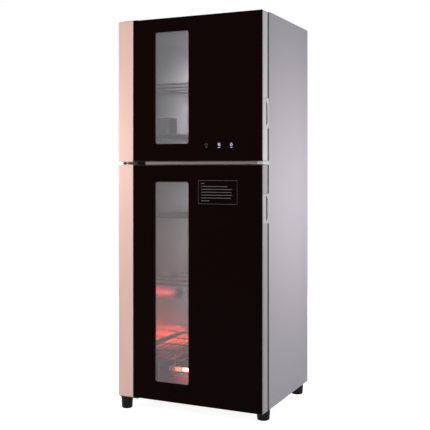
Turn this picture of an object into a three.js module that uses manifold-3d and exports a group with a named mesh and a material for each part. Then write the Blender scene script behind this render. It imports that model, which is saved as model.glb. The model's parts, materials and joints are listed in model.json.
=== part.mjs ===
// Dish sterilizer cabinet: a small upper chamber and a tall lower one, each behind its own glass door.
// Millimetres, +Z up. Each piece is drawn with x to the right from the doors' left edge, y to the back
// from the doors' front face, and z up from the underside of the casing. The last group moves that corner
// so that the origin lies on the floor, under the middle of the cabinet.
import * as THREE from "three";
import { mergeVertices } from "three/addons/utils/BufferGeometryUtils.js";
import Module from "manifold-3d";

const wasm = await Module();
wasm.setup();

// Whole cabinet
const width = 425;
const depth = 365;
const casingHeight = 1028;
const footHeight = 35;

// Fits
const clearance = 0.3;
const hingeGap = 0.5;
const pinPlay = 0.25;
const overrun = 5;

// Casing
const casingSheet = 1;
const casingFlange = 12;
const casingBend = 4;
const backRecess = 8;
const rearInsulation = 15;
const louvreCount = 7;
const louvreLength = 90;
const louvreSlot = 3.5;
const louvrePitch = 10;

// Doors
const doorThickness = 37;
const doorGap = 10;
const dividerGap = 10.5;
const lowerDoorHeight = 632;
const glassThickness = 4;
const stripWidth = 47;
const stripBend = 4;
const profileWall = 1.5;
const glassLedge = 12;
const backFlange = 18;
const innerSheet = 0.8;
const capHeight = 12;

// Windows
const windowLeft = 116.5;
const windowWidth = 99.5;
const windowRadius = 6;
const upperWindowSill = 46;
const upperWindowHead = 37.5;
const lowerWindowSill = 51;
const lowerWindowHead = 45;
const tunnelSideMargin = 25;
const tunnelEndMargin = 7;
const tunnelWall = 1;
const innerPane = 3;
const innerPaneSetback = 5;

// Finger grips
const gripHeight = 77;
const gripSetback = 6;
const gripLip = 20;
const gripWall = 2;
const gripBackWall = 7;
const gripEndWall = 4;
const gripGap = 1.5;
const gripSlope = 10;
const upperGripRise = 84;
const lowerGripDrop = 73.5;

// Gaskets
const gasketInset = 20;
const gasketWidth = 10;
const mouthMargin = 2;

// Hinges
const hingeInset = 14;
const pinRadius = 3;
const pinLength = 8;
const pinSides = 16;
const collarRadius = 4.5;
const collarHeight = 1.8;
const leafThickness = 3;
const leafWall = 2.5;
const topLeafThickness = 2;
const leafStart = 10;
const leafEnd = 58;
const leafFront = 4;
const topLeafFront = 8;
const leafRadius = 8;
const middleLeafHeight = 30;
const topLeafHeight = 16;
const bottomPlateWidth = 56;
const bottomPlateDepth = 106;
const holeRest = 1;

// Touch control behind the upper glass
const boardWidth = 112;
const boardHeight = 32;
const boardThickness = 5;
const boardRight = 64;

// Chambers
const linerSheet = 0.8;
const linerFlange = 5;

// Racks and the plates that carry them; heights as shares of the height they are spread over
const trayRackRise = 42;
const upperRackShares = [0, 0.51];
const lowerRackShares = [0.1585, 0.4806, 0.8063];
const rackSetback = 17;
const rackRearGap = 30.2;
const rackSideGap = 0.7;
const frameWire = 6;
const shelfWire = 3;
const crossWire = 4;
const shelfWireCount = 15;
const wireSides = 4;
const frameSides = 6;
const wireBite = 1.2;
const plateSheet = 1;
const plateFrontLead = 7;
const plateRearTail = 12;
const plateMargin = 14;
const ledgeWidth = 10;
const ledgeSheet = 1.2;

// Drip tray
const trayHeight = 14;
const trayWall = 1;
const traySideGap = 8;
const trayLip = 6;

// Heaters
const tubeRadius = 6;
const tubeSides = 12;
const tubeCapRadius = 8;
const tubeCapLength = 18;
const rearTubeEndGap = 14;
const bottomTubeEndGap = 50;
const bottomTubeRise = 16;
const bottomTubeDepthShare = 0.345;
const rearTubeHeightShare = 0.355;
const rearTubeGap = 15;
const holderSheet = 1.5;
const holderWidth = 34;
const holderEdge = 4;
const guardWire = 4;
const guardHoopCount = 9;
const guardRise = 55;
const guardDepth = 100;
const guardEndGap = 40;

// Ozone generator on the upper chamber's left plate
const ozoneWidth = 28;
const ozoneDepth = 57;
const ozoneRackGap = 5;
const ozoneHeightShare = 0.355;
const ozoneMiddleShare = 0.54;
const ozoneChamfer = 5;
const ozoneSlotCount = 5;
const ozoneSlotShare = 0.375;
const ozoneSlotDepth = 6;

// Electrics between the chambers
const powerBoxWidth = 170;
const powerBoxDepth = 110;
const powerBoxHeight = 40;
const powerBoxRight = 135;
const powerBoxMiddleShare = 0.66;
const thermostatRadius = 10;
const thermostatHeight = 12;
const thermostatFlange = 15;
const thermostatFlangeHeight = 2;
const thermostatRight = 80;
const thermostatMiddleShare = 0.645;
const switchWidth = 30;
const switchDepth = 12;
const switchHeight = 14;
const switchRight = 60;
const switchSpread = 12;
const glandRight = 85;
const glandBore = 4;
const glandNeck = 7;
const glandCollar = 9;
const glandFlange = 13;
const glandFlangeHeight = 3;
const glandNutRadius = 11;
const glandNutHeight = 7;
const wiringWidth = 190;

// Feet
const footRadius = 18;
const hingeFootRadius = 16;
const footTaper = 1.5;
const footEdge = 2;
const footSideInset = 26.5;
const footFrontSetback = 75;
const footRearSetback = 20;
const hingeFootLeft = 18;
const hingeFootSetback = 18;
const roundSides = 20;
const cornerSteps = 2;

// Places that follow from the sizes above
const casingFront = doorThickness + doorGap;
const frameFront = casingFront + casingSheet + clearance;
const frameBack = frameFront + casingSheet;
const linerFront = frameBack + clearance;
const backPanelFront = depth - backRecess - casingSheet;
const linerBack = backPanelFront - rearInsulation;
const lowerDoorBottom = hingeGap;
const lowerDoorTop = lowerDoorBottom + lowerDoorHeight;
const upperDoorBottom = lowerDoorTop + dividerGap;
const upperDoorTop = casingHeight - topLeafThickness - hingeGap;
const mouthInset = gasketInset + gasketWidth + mouthMargin;
const mouthLeft = mouthInset;
const mouthRight = width - mouthInset;
const upperMouthBottom = upperDoorBottom + mouthInset;
const upperMouthTop = upperDoorTop - mouthInset;
const lowerMouthBottom = lowerDoorBottom + mouthInset;
const lowerMouthTop = lowerDoorTop - mouthInset;
const chamberBack = linerBack - linerSheet;
const rackFront = casingFront + rackSetback;
const rackBack = chamberBack - rackRearGap;
const middleLeafBottom = (lowerDoorTop + upperDoorBottom - leafThickness) / 2;

// Finishes
function finish(color, roughness, metalness, more = {}) {
  return new THREE.MeshStandardMaterial({ color, roughness, metalness, flatShading: true, ...more });
}
const blackGlass = finish(0x0b0807, 0.08, 0.1);
const clearGlass = finish(0x9aa0a4, 0.05, 0, { transparent: true, opacity: 0.35 });
const roseGold = finish(0xe9b8a9, 0.3, 0.9);
const silver = finish(0xc4c3c6, 0.35, 0.85);
const casingPaint = finish(0xa9a7ad, 0.4, 0.6);
const stainless = finish(0xb9b9ba, 0.32, 0.9);
const darkPlastic = finish(0x1c1b1c, 0.55, 0);
const greyPlastic = finish(0x8c8c8e, 0.5, 0);
const sealRubber = finish(0x6a6a6c, 0.8, 0);
const hingeSteel = finish(0x2a211d, 0.45, 0.6);
const chromeWire = finish(0xd4d4d6, 0.18, 1);
const quartz = finish(0xe8c9a8, 0.15, 0, { emissive: 0xff5a1e, emissiveIntensity: 0.6 });
const footRubber = finish(0x151515, 0.75, 0);
const boardGreen = finish(0x2f5a3a, 0.6, 0);
const wool = finish(0xd8cfae, 0.95, 0);

const upAxis = new THREE.Vector3(0, 1, 0);
const alongX = new THREE.Matrix4().makeBasis(
  new THREE.Vector3(0, 1, 0),
  new THREE.Vector3(0, 0, 1),
  new THREE.Vector3(1, 0, 0),
);

// Plane outlines
function outline(points) {
  return new THREE.Shape(points.map(([u, v]) => new THREE.Vector2(u, v)));
}

function rectangle(u0, u1, v0, v1) {
  return outline([
    [u0, v0],
    [u1, v0],
    [u1, v1],
    [u0, v1],
  ]);
}

function roundedRectangle(u0, u1, v0, v1, radius) {
  const quarter = Math.PI / 2;
  const shape = new THREE.Shape();
  shape.absarc(u1 - radius, v0 + radius, radius, -quarter, 0);
  shape.absarc(u1 - radius, v1 - radius, radius, 0, quarter);
  shape.absarc(u0 + radius, v1 - radius, radius, quarter, 2 * quarter);
  shape.absarc(u0 + radius, v0 + radius, radius, 2 * quarter, 3 * quarter);
  return shape;
}

// Solids from an outline: its u and v run along the two axes that are not in the name
function prismX(shape, x0, x1) {
  const depthOf = { depth: x1 - x0, bevelEnabled: false, curveSegments: cornerSteps };
  return new THREE.ExtrudeGeometry(shape, depthOf).applyMatrix4(alongX).translate(x0, 0, 0);
}

function prismY(shape, y0, y1) {
  const depthOf = { depth: y1 - y0, bevelEnabled: false, curveSegments: cornerSteps };
  return new THREE.ExtrudeGeometry(shape, depthOf).rotateX(Math.PI / 2).translate(0, y1, 0);
}

function prismZ(shape, z0, z1) {
  const depthOf = { depth: z1 - z0, bevelEnabled: false, curveSegments: cornerSteps };
  return new THREE.ExtrudeGeometry(shape, depthOf).translate(0, 0, z0);
}

function block(x0, x1, y0, y1, z0, z1) {
  const box = new THREE.BoxGeometry(x1 - x0, y1 - y0, z1 - z0);
  return box.translate((x0 + x1) / 2, (y0 + y1) / 2, (z0 + z1) / 2);
}

function rod(start, end, radius, sides) {
  const from = new THREE.Vector3(...start);
  const run = new THREE.Vector3(...end).sub(from);
  const turn = new THREE.Quaternion().setFromUnitVectors(upAxis, run.clone().normalize());
  const bar = new THREE.CylinderGeometry(radius, radius, run.length(), sides);
  const middle = from.addScaledVector(run, 1 / 2);
  return bar.applyQuaternion(turn).translate(middle.x, middle.y, middle.z);
}

// A turned piece: profile points are [radius, height above the given point]
function turned(profile, x, y, z, sides = roundSides) {
  const points = profile.map(([radius, height]) => new THREE.Vector2(radius, height));
  return new THREE.LatheGeometry(points, sides).rotateX(Math.PI / 2).translate(x, y, z);
}

// Booleans
function solid(geometry) {
  const bare = geometry.clone();
  bare.deleteAttribute("normal");
  bare.deleteAttribute("uv");
  const merged = mergeVertices(bare);
  return new wasm.Manifold(
    new wasm.Mesh({
      numProp: 3,
      vertProperties: merged.attributes.position.array,
      triVerts: new Uint32Array(merged.index.array),
    }),
  );
}

function join(first, ...others) {
  return others.reduce((whole, piece) => whole.add(solid(piece)), solid(first));
}

function cut(whole, ...pieces) {
  return pieces.reduce((rest, piece) => rest.subtract(solid(piece)), whole);
}

function geometryOf(made) {
  const mesh = made.getMesh();
  return new THREE.BufferGeometry()
    .setAttribute("position", new THREE.BufferAttribute(mesh.vertProperties, 3))
    .setIndex(new THREE.BufferAttribute(mesh.triVerts, 1));
}

const cabinet = new THREE.Group();

function add(name, material, shape) {
  const geometry = shape.isBufferGeometry ? shape : geometryOf(shape);
  geometry.computeVertexNormals();
  const mesh = new THREE.Mesh(geometry, material);
  mesh.name = name;
  cabinet.add(mesh);
}

// Door

// Bent strip profile on the hinge side: front face, outer edge, back flange, and a ledge behind the glass
function trimStripOutline() {
  const quarter = Math.PI / 2;
  const ledgeFront = glassThickness + clearance;
  const ledgeBack = ledgeFront + profileWall;
  const shape = new THREE.Shape();
  shape.moveTo(stripWidth, 0);
  shape.lineTo(stripWidth, ledgeFront);
  shape.lineTo(stripWidth + glassLedge, ledgeFront);
  shape.lineTo(stripWidth + glassLedge, ledgeBack);
  shape.lineTo(stripWidth - profileWall, ledgeBack);
  shape.lineTo(stripWidth - profileWall, profileWall);
  shape.absarc(stripBend, stripBend, stripBend - profileWall, -quarter, 2 * quarter, true);
  shape.lineTo(profileWall, doorThickness - profileWall);
  shape.lineTo(backFlange, doorThickness - profileWall);
  shape.lineTo(backFlange, doorThickness);
  shape.lineTo(0, doorThickness);
  shape.absarc(stripBend, stripBend, stripBend, 2 * quarter, 3 * quarter);
  return shape;
}

// Side profile on the opening side: its wall ends behind the glass, which runs out to the corner
function sideProfileOutline() {
  const ledgeFront = glassThickness + clearance;
  const ledgeBack = ledgeFront + profileWall;
  const inside = width - profileWall;
  return outline([
    [inside - glassLedge, ledgeFront],
    [width, ledgeFront],
    [width, doorThickness],
    [width - backFlange, doorThickness],
    [width - backFlange, doorThickness - profileWall],
    [inside, doorThickness - profileWall],
    [inside, ledgeBack],
    [inside - glassLedge, ledgeBack],
  ]);
}

// Moulded cap inside one end of the door, with the blind hole that turns on the hinge pin
function endCap(z0, z1, holeMouth, holeDirection) {
  const inside = profileWall + clearance;
  const ledgeBack = glassThickness + clearance + profileWall + clearance;
  const notch = stripWidth - inside;
  const cap = prismZ(
    outline([
      [inside, stripBend],
      [stripBend, inside],
      [notch, inside],
      [notch, ledgeBack],
      [width - inside, ledgeBack],
      [width - inside, doorThickness - inside],
      [inside, doorThickness - inside],
    ]),
    z0,
    z1,
  );
  const holeRadius = (pinRadius + pinPlay) / Math.cos(Math.PI / pinSides);
  const holeDepth = pinLength - hingeGap + holeRest;
  const hole = rod(
    [hingeInset, hingeInset, holeMouth - holeDirection * overrun],
    [hingeInset, hingeInset, holeMouth + holeDirection * holeDepth],
    holeRadius,
    pinSides,
  );
  return cut(solid(cap), hole);
}

// Opening behind the window, with a margin all round so that the chamber shows from the side as well
function doorOpening(sill, head, grow) {
  return roundedRectangle(
    windowLeft - tunnelSideMargin - grow,
    windowLeft + windowWidth + tunnelSideMargin + grow,
    sill - tunnelEndMargin - grow,
    head + tunnelEndMargin + grow,
    windowRadius + grow,
  );
}

// Sheet that closes the door's back, with a tunnel round the opening up to the glass
function innerPanel(z0, z1, sill, head) {
  const sheetFront = doorThickness - innerSheet;
  const side = backFlange + clearance;
  const tunnelFront = glassThickness + clearance;
  return cut(
    join(
      prismY(rectangle(side, width - side, z0, z1), sheetFront, doorThickness),
      prismY(doorOpening(sill, head, tunnelWall), tunnelFront, doorThickness),
    ),
    prismY(doorOpening(sill, head, 0), tunnelFront - overrun, doorThickness + overrun),
  );
}

function innerGlass(sill, head) {
  const back = doorThickness - innerPaneSetback;
  return prismY(doorOpening(sill, head, -clearance), back - innerPane, back);
}

// Closed ring that seals the door on the front frame
function gasket(z0, z1) {
  const inner = gasketInset + gasketWidth;
  const ring = prismY(
    rectangle(gasketInset, width - gasketInset, z0 + gasketInset, z1 - gasketInset),
    doorThickness + clearance,
    frameFront - clearance,
  );
  const middle = block(inner, width - inner, doorThickness, frameFront, z0 + inner, z1 - inner);
  return cut(solid(ring), middle);
}

// Scoop let into the opening edge: fingers go in from the side and pull on its front wall.
// Its pocket is tall at the front and its ends slope in towards the back.
function grip(gripBottom) {
  const left = width - backFlange + clearance;
  const front = gripSetback + clearance;
  const back = casingFront - gripGap;
  const bottom = gripBottom + clearance;
  const top = gripBottom + gripHeight - clearance;
  const pocketBack = back - gripBackWall;
  const pocketBottom = bottom + gripEndWall;
  const pocketTop = top - gripEndWall;
  const pocket = outline([
    [front + gripLip, pocketBottom],
    [pocketBack, pocketBottom + gripSlope],
    [pocketBack, pocketTop - gripSlope],
    [front + gripLip, pocketTop],
  ]);
  const scoop = block(left, width, front, back, bottom, top);
  return cut(solid(scoop), prismX(pocket, left + gripWall, width + overrun));
}

function addDoor(name, door) {
  const { bottom, top, sill, head, gripBottom } = door;
  add(`${name}_trim_strip`, roseGold, prismZ(trimStripOutline(), bottom, top));
  const glassLeft = stripWidth + clearance;
  add(`${name}_glass`, blackGlass, block(glassLeft, width, 0, glassThickness, bottom, top));
  const notch = block(
    width - backFlange - overrun,
    width + overrun,
    gripSetback,
    doorThickness + overrun,
    gripBottom,
    gripBottom + gripHeight,
  );
  const sideProfile = solid(prismZ(sideProfileOutline(), bottom, top));
  add(`${name}_side_profile`, silver, cut(sideProfile, notch));
  add(`${name}_grip`, silver, grip(gripBottom));
  add(`${name}_top_cap`, darkPlastic, endCap(top - capHeight, top, top, -1));
  add(`${name}_bottom_cap`, darkPlastic, endCap(bottom, bottom + capHeight, bottom, 1));
  add(`${name}_inner_panel`, stainless, innerPanel(bottom, top, sill, head));
  add(`${name}_inner_glass`, clearGlass, innerGlass(sill, head));
  add(`${name}_gasket`, sealRubber, gasket(bottom, top));
}

addDoor("upper_door", {
  bottom: upperDoorBottom,
  top: upperDoorTop,
  sill: upperDoorBottom + upperWindowSill,
  head: upperDoorTop - upperWindowHead,
  gripBottom: upperDoorBottom + upperGripRise,
});
addDoor("lower_door", {
  bottom: lowerDoorBottom,
  top: lowerDoorTop,
  sill: lowerDoorBottom + lowerWindowSill,
  head: lowerDoorTop - lowerWindowHead,
  gripBottom: lowerDoorTop - lowerGripDrop - gripHeight,
});

// Touch control board on the back of the upper glass
const boardFront = glassThickness + clearance;
const boardBottom = upperDoorBottom + capHeight + clearance;
add(
  "touch_control_board",
  boardGreen,
  block(
    width - boardRight - boardWidth,
    width - boardRight,
    boardFront,
    boardFront + boardThickness,
    boardBottom,
    boardBottom + boardHeight,
  ),
);

// Casing

// Side sheet with a rounded bend and a flange at its front and at its back
function sidePanelOutline() {
  const quarter = Math.PI / 2;
  const front = casingFront + casingBend;
  const back = depth - casingBend;
  const innerBend = casingBend - casingSheet;
  const shape = new THREE.Shape();
  shape.moveTo(casingFlange, casingFront);
  shape.absarc(casingBend, front, casingBend, -quarter, 2 * quarter, true);
  shape.absarc(casingBend, back, casingBend, 2 * quarter, quarter, true);
  shape.lineTo(casingFlange, depth);
  shape.lineTo(casingFlange, depth - casingSheet);
  shape.absarc(casingBend, back, innerBend, quarter, 2 * quarter);
  shape.absarc(casingBend, front, innerBend, 2 * quarter, 3 * quarter);
  shape.lineTo(casingFlange, casingFront + casingSheet);
  return shape;
}

const sideBottom = casingSheet + clearance;
const sideTop = casingHeight - casingSheet - clearance;
const leftSidePanel = prismZ(sidePanelOutline(), sideBottom, sideTop);
const rightSidePanel = leftSidePanel
  .clone()
  .rotateZ(Math.PI)
  .translate(width, casingFront + depth, 0);
add("left_side_panel", casingPaint, leftSidePanel);
add("right_side_panel", casingPaint, rightSidePanel);

// Sheet over or under the casing, with a flange between the side panels' flanges at front and back
function capPanel(sheetBottom, flangeBottom, flangeTop) {
  const side = casingFlange + clearance;
  const into = casingSheet / 2;
  const flangeFrom = Math.min(flangeBottom, sheetBottom + into);
  const flangeTo = Math.max(flangeTop, sheetBottom + into);
  const sheet = roundedRectangle(0, width, casingFront, depth, casingBend);
  return join(
    prismZ(sheet, sheetBottom, sheetBottom + casingSheet),
    block(side, width - side, casingFront, casingFront + casingSheet, flangeFrom, flangeTo),
    block(side, width - side, depth - casingSheet, depth, flangeFrom, flangeTo),
  );
}

const topSheet = casingHeight - casingSheet;
add("top_panel", casingPaint, capPanel(topSheet, casingHeight - casingFlange, topSheet));
add("base_panel", casingPaint, capPanel(0, casingSheet, casingFlange));

// Back panel: a shallow pan set in from the rear edges, with louvres and the hole for the cord gland
const inside = casingSheet + clearance;
const rearEdge = depth - casingBend;
const electricsMiddle = (lowerMouthTop + upperMouthBottom) / 2;
const glandLeft = width - glandRight;

function backPanel() {
  const pan = prismZ(
    outline([
      [inside, backPanelFront],
      [width - inside, backPanelFront],
      [width - inside, rearEdge],
      [width - inside - casingSheet, rearEdge],
      [width - inside - casingSheet, backPanelFront + casingSheet],
      [inside + casingSheet, backPanelFront + casingSheet],
      [inside + casingSheet, rearEdge],
      [inside, rearEdge],
    ]),
    sideBottom,
    sideTop,
  );
  const louvreLeft = (width - louvreLength) / 2;
  const firstSlot = electricsMiddle - ((louvreCount - 1) * louvrePitch + louvreSlot) / 2;
  const slots = Array.from({ length: louvreCount }, (_, i) => {
    const slotBottom = firstSlot + i * louvrePitch;
    return block(
      louvreLeft,
      louvreLeft + louvreLength,
      backPanelFront - overrun,
      backPanelFront + casingSheet + overrun,
      slotBottom,
      slotBottom + louvreSlot,
    );
  });
  const glandHole = rod(
    [glandLeft, backPanelFront - overrun, electricsMiddle],
    [glandLeft, backPanelFront + casingSheet + overrun, electricsMiddle],
    glandNeck + clearance,
    roundSides,
  );
  return cut(solid(pan), ...slots, glandHole);
}
add("back_panel", casingPaint, backPanel());

// Cord gland, turned about an axis that runs to the back: nut, neck through the panel, flange, collar
function cordGland() {
  const outside = casingSheet + clearance;
  const profile = [
    [glandBore, depth - backPanelFront],
    [glandBore, -clearance - glandNutHeight],
    [glandNutRadius, -clearance - glandNutHeight],
    [glandNutRadius, -clearance],
    [glandNeck, -clearance],
    [glandNeck, outside],
    [glandFlange, outside],
    [glandFlange, outside + glandFlangeHeight],
    [glandCollar, outside + glandFlangeHeight],
    [glandCollar, depth - backPanelFront],
    [glandBore, depth - backPanelFront],
  ];
  const points = profile.map(([radius, height]) => new THREE.Vector2(radius, height));
  return new THREE.LatheGeometry(points, roundSides).translate(glandLeft, backPanelFront, electricsMiddle);
}
add("cord_gland", darkPlastic, cordGland());

// Front frame: one sheet behind the casing's flanges with the two chamber mouths
function mouthCut(z0, z1) {
  return block(mouthLeft, mouthRight, frameFront - overrun, frameBack + overrun, z0, z1);
}
add(
  "front_frame",
  stainless,
  cut(
    solid(block(casingBend, width - casingBend, frameFront, frameBack, sideBottom, sideTop)),
    mouthCut(lowerMouthBottom, lowerMouthTop),
    mouthCut(upperMouthBottom, upperMouthTop),
  ),
);

// Chamber liner: a box open to the front, with a flange behind the frame
function liner(z0, z1) {
  const shell = join(
    block(
      mouthLeft - linerSheet,
      mouthRight + linerSheet,
      linerFront,
      linerBack,
      z0 - linerSheet,
      z1 + linerSheet,
    ),
    block(
      mouthLeft - linerFlange,
      mouthRight + linerFlange,
      linerFront,
      linerFront + linerSheet,
      z0 - linerFlange,
      z1 + linerFlange,
    ),
  );
  return cut(shell, block(mouthLeft, mouthRight, linerFront - overrun, chamberBack, z0, z1));
}
add("upper_liner", stainless, liner(upperMouthBottom, upperMouthTop));
add("lower_liner", stainless, liner(lowerMouthBottom, lowerMouthTop));

// Insulation bent round both chambers, notched at the back for the wiring between them
function insulationWrap() {
  const outerLeft = inside + clearance;
  const outerRight = width - outerLeft;
  const innerLeft = mouthLeft - linerFlange - clearance;
  const innerRight = width - innerLeft;
  const back = backPanelFront - clearance;
  const front = linerFront + clearance;
  const backInside = linerBack + clearance;
  const wrap = prismZ(
    outline([
      [outerLeft, front],
      [innerLeft, front],
      [innerLeft, backInside],
      [innerRight, backInside],
      [innerRight, front],
      [outerRight, front],
      [outerRight, back],
      [outerLeft, back],
    ]),
    lowerMouthBottom,
    upperMouthTop,
  );
  const wiring = block(
    (width - wiringWidth) / 2,
    innerRight,
    backInside - overrun,
    back + overrun,
    lowerMouthTop,
    upperMouthBottom,
  );
  return cut(solid(wrap), wiring);
}
add("insulation_wrap", wool, insulationWrap());

// Hinge brackets, each with its pin riveted in

// Flat leaf round the hinge axis, as an outline with a rounded front left corner
function leafOutline(front, back) {
  const shape = new THREE.Shape();
  const corner = leafStart + leafRadius;
  shape.moveTo(leafStart, back);
  shape.absarc(corner, front + leafRadius, leafRadius, Math.PI, 1.5 * Math.PI);
  shape.lineTo(leafEnd, front);
  shape.lineTo(leafEnd, back);
  return shape;
}

function pin(z0, z1) {
  return rod([hingeInset, hingeInset, z0], [hingeInset, hingeInset, z1], pinRadius, pinSides);
}

function collar(z0, z1) {
  return rod([hingeInset, hingeInset, z0], [hingeInset, hingeInset, z1], collarRadius, pinSides);
}

const leafBack = casingFront - clearance;
const leafWallFront = leafBack - leafWall;
const topLeafBottom = casingHeight - topLeafThickness;
add(
  "top_hinge_bracket",
  hingeSteel,
  join(
    prismZ(leafOutline(topLeafFront, leafBack), topLeafBottom, casingHeight),
    block(leafStart, leafEnd, leafWallFront, leafBack, casingHeight - topLeafHeight, casingHeight),
    pin(upperDoorTop - pinLength, casingHeight - topLeafThickness / 2),
  ),
);

const middleLeafMiddle = middleLeafBottom + leafThickness / 2;
add(
  "middle_hinge_bracket",
  hingeSteel,
  join(
    prismZ(leafOutline(leafFront, leafBack), middleLeafBottom, middleLeafBottom + leafThickness),
    block(
      leafStart,
      leafEnd,
      leafWallFront,
      leafBack,
      middleLeafMiddle - middleLeafHeight / 2,
      middleLeafMiddle + middleLeafHeight / 2,
    ),
    collar(middleLeafBottom - collarHeight, middleLeafBottom + leafThickness + collarHeight),
    pin(lowerDoorTop - pinLength, upperDoorBottom + pinLength),
  ),
);

const plateTop = -clearance;
add(
  "bottom_hinge_plate",
  hingeSteel,
  join(
    block(
      leafFront,
      leafFront + bottomPlateWidth,
      leafFront,
      leafFront + bottomPlateDepth,
      plateTop - leafThickness,
      plateTop,
    ),
    collar(plateTop - leafThickness / 2, lowerDoorBottom - hingeGap),
    pin(plateTop - leafThickness / 2, lowerDoorBottom + pinLength),
  ),
);

// Racks

function rack(surface) {
  const left = mouthLeft + plateSheet + clearance + rackSideGap;
  const right = width - left;
  const frameRadius = frameWire / 2;
  const frameHeight = surface - frameRadius;
  const sideLeft = left + frameRadius;
  const sideRight = right - frameRadius;
  const front = rackFront + frameRadius;
  const back = rackBack - frameRadius;
  const wireHeight = frameHeight + frameRadius - shelfWire / 2;
  const crossHeight = wireHeight - shelfWire / 2 - crossWire / 2 + wireBite;
  const pitch = (sideRight - sideLeft) / (shelfWireCount + 1);
  const shelfWires = Array.from({ length: shelfWireCount }, (_, i) => {
    const x = sideLeft + (i + 1) * pitch;
    return rod([x, front, wireHeight], [x, back, wireHeight], shelfWire / 2, wireSides);
  });
  const crossWires = [1 / 3, 2 / 3].map((share) => {
    const y = front + (back - front) * share;
    return rod([sideLeft, y, crossHeight], [sideRight, y, crossHeight], crossWire / 2, wireSides);
  });
  return join(
    rod([left, front, frameHeight], [right, front, frameHeight], frameRadius, frameSides),
    rod([left, back, frameHeight], [right, back, frameHeight], frameRadius, frameSides),
    rod([sideLeft, front, frameHeight], [sideLeft, back, frameHeight], frameRadius, frameSides),
    rod([sideRight, front, frameHeight], [sideRight, back, frameHeight], frameRadius, frameSides),
    ...shelfWires,
    ...crossWires,
  );
}

// Plate on a chamber's side wall with one bent ledge under each rack
function rackPlate(wall, inward, surfaces) {
  const span = (from, to) => (inward > 0 ? [wall + from, wall + to] : [wall - to, wall - from]);
  const [plateLeft, plateRight] = span(clearance, clearance + plateSheet);
  const [ledgeLeft, ledgeRight] = span(clearance, clearance + plateSheet + ledgeWidth);
  const front = rackFront - plateFrontLead;
  const back = rackBack + plateRearTail;
  const lowest = Math.min(...surfaces) - frameWire - plateMargin;
  const highest = Math.max(...surfaces) + plateMargin;
  const ledges = surfaces.map((surface) => {
    const ledgeTop = surface - frameWire - clearance;
    return block(ledgeLeft, ledgeRight, front, back, ledgeTop - ledgeSheet, ledgeTop);
  });
  return join(block(plateLeft, plateRight, front, back, lowest, highest), ...ledges);
}

function surfacesBetween(low, high, shares) {
  return shares.map((share) => low + share * (high - low));
}

function addRacks(chamber, surfaces) {
  add(`${chamber}_left_rack_plate`, stainless, rackPlate(mouthLeft, 1, surfaces));
  add(`${chamber}_right_rack_plate`, stainless, rackPlate(mouthRight, -1, surfaces));
  surfaces.forEach((surface, i) => add(`${chamber}_rack_${i + 1}`, chromeWire, rack(surface)));
}
const lowestUpperRack = upperMouthBottom + trayRackRise;
const upperSurfaces = surfacesBetween(lowestUpperRack, upperMouthTop, upperRackShares);
addRacks("upper", upperSurfaces);
addRacks("lower", surfacesBetween(lowerMouthBottom, lowerMouthTop, lowerRackShares));

// Drip tray on the upper chamber's floor: an open pan with a pull lip bent forward
function dripTray() {
  const left = mouthLeft + traySideGap;
  const right = mouthRight - traySideGap;
  const bottom = upperMouthBottom + clearance;
  const top = bottom + trayHeight;
  const front = rackFront + trayLip;
  return cut(
    join(
      block(left, right, front, rackBack, bottom, top),
      block(left, right, rackFront, front + trayWall, top - trayWall, top),
    ),
    block(
      left + trayWall,
      right - trayWall,
      front + trayWall,
      rackBack - trayWall,
      bottom + trayWall,
      top + overrun,
    ),
  );
}
add("drip_tray", stainless, dripTray());

// Heaters

// Quartz tube with a ceramic cap at each end, turned about an axis along x
function heaterTube(y, z, endGap) {
  const left = mouthLeft + endGap;
  const right = mouthRight - endGap;
  return join(
    rod([left + tubeCapLength / 2, y, z], [right - tubeCapLength / 2, y, z], tubeRadius, tubeSides),
    rod([left, y, z], [left + tubeCapLength, y, z], tubeCapRadius, tubeSides),
    rod([right - tubeCapLength, y, z], [right, y, z], tubeCapRadius, tubeSides),
  );
}

const bottomTubeY = linerFront + bottomTubeDepthShare * (chamberBack - linerFront);
const bottomTubeZ = lowerMouthBottom + bottomTubeRise;
const rearTubeY = chamberBack - rearTubeGap;
const rearTubeZ = lowerMouthBottom + rearTubeHeightShare * (lowerMouthTop - lowerMouthBottom);
add("bottom_heater_tube", quartz, heaterTube(bottomTubeY, bottomTubeZ, bottomTubeEndGap));
add("rear_heater_tube", quartz, heaterTube(rearTubeY, rearTubeZ, rearTubeEndGap));

// Left faces of a holder's two lugs, which stand round the middle of the tube's caps
function lugPlaces(endGap) {
  const lugMiddle = endGap + tubeCapLength / 2;
  return [mouthLeft + lugMiddle - holderSheet / 2, mouthRight - lugMiddle - holderSheet / 2];
}

function tubeHoles(lugs, y, z) {
  const radius = (tubeCapRadius + clearance) / Math.cos(Math.PI / tubeSides);
  return lugs.map((x) =>
    rod([x - overrun, y, z], [x + holderSheet + overrun, y, z], radius, tubeSides),
  );
}

const tubeReach = tubeCapRadius + holderEdge;
const holderFloor = lowerMouthBottom + clearance;
const bottomHolderFront = bottomTubeY - holderWidth / 2;
const bottomHolderBack = bottomTubeY + holderWidth / 2;
const bottomLugs = lugPlaces(bottomTubeEndGap);
add(
  "bottom_heater_holder",
  stainless,
  cut(
    join(
      block(
        bottomLugs[0],
        bottomLugs[1] + holderSheet,
        bottomHolderFront,
        bottomHolderBack,
        holderFloor,
        holderFloor + holderSheet,
      ),
      ...bottomLugs.map((x) =>
        block(
          x,
          x + holderSheet,
          bottomHolderFront,
          bottomHolderBack,
          holderFloor,
          bottomTubeZ + tubeReach,
        ),
      ),
    ),
    ...tubeHoles(bottomLugs, bottomTubeY, bottomTubeZ),
  ),
);

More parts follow.
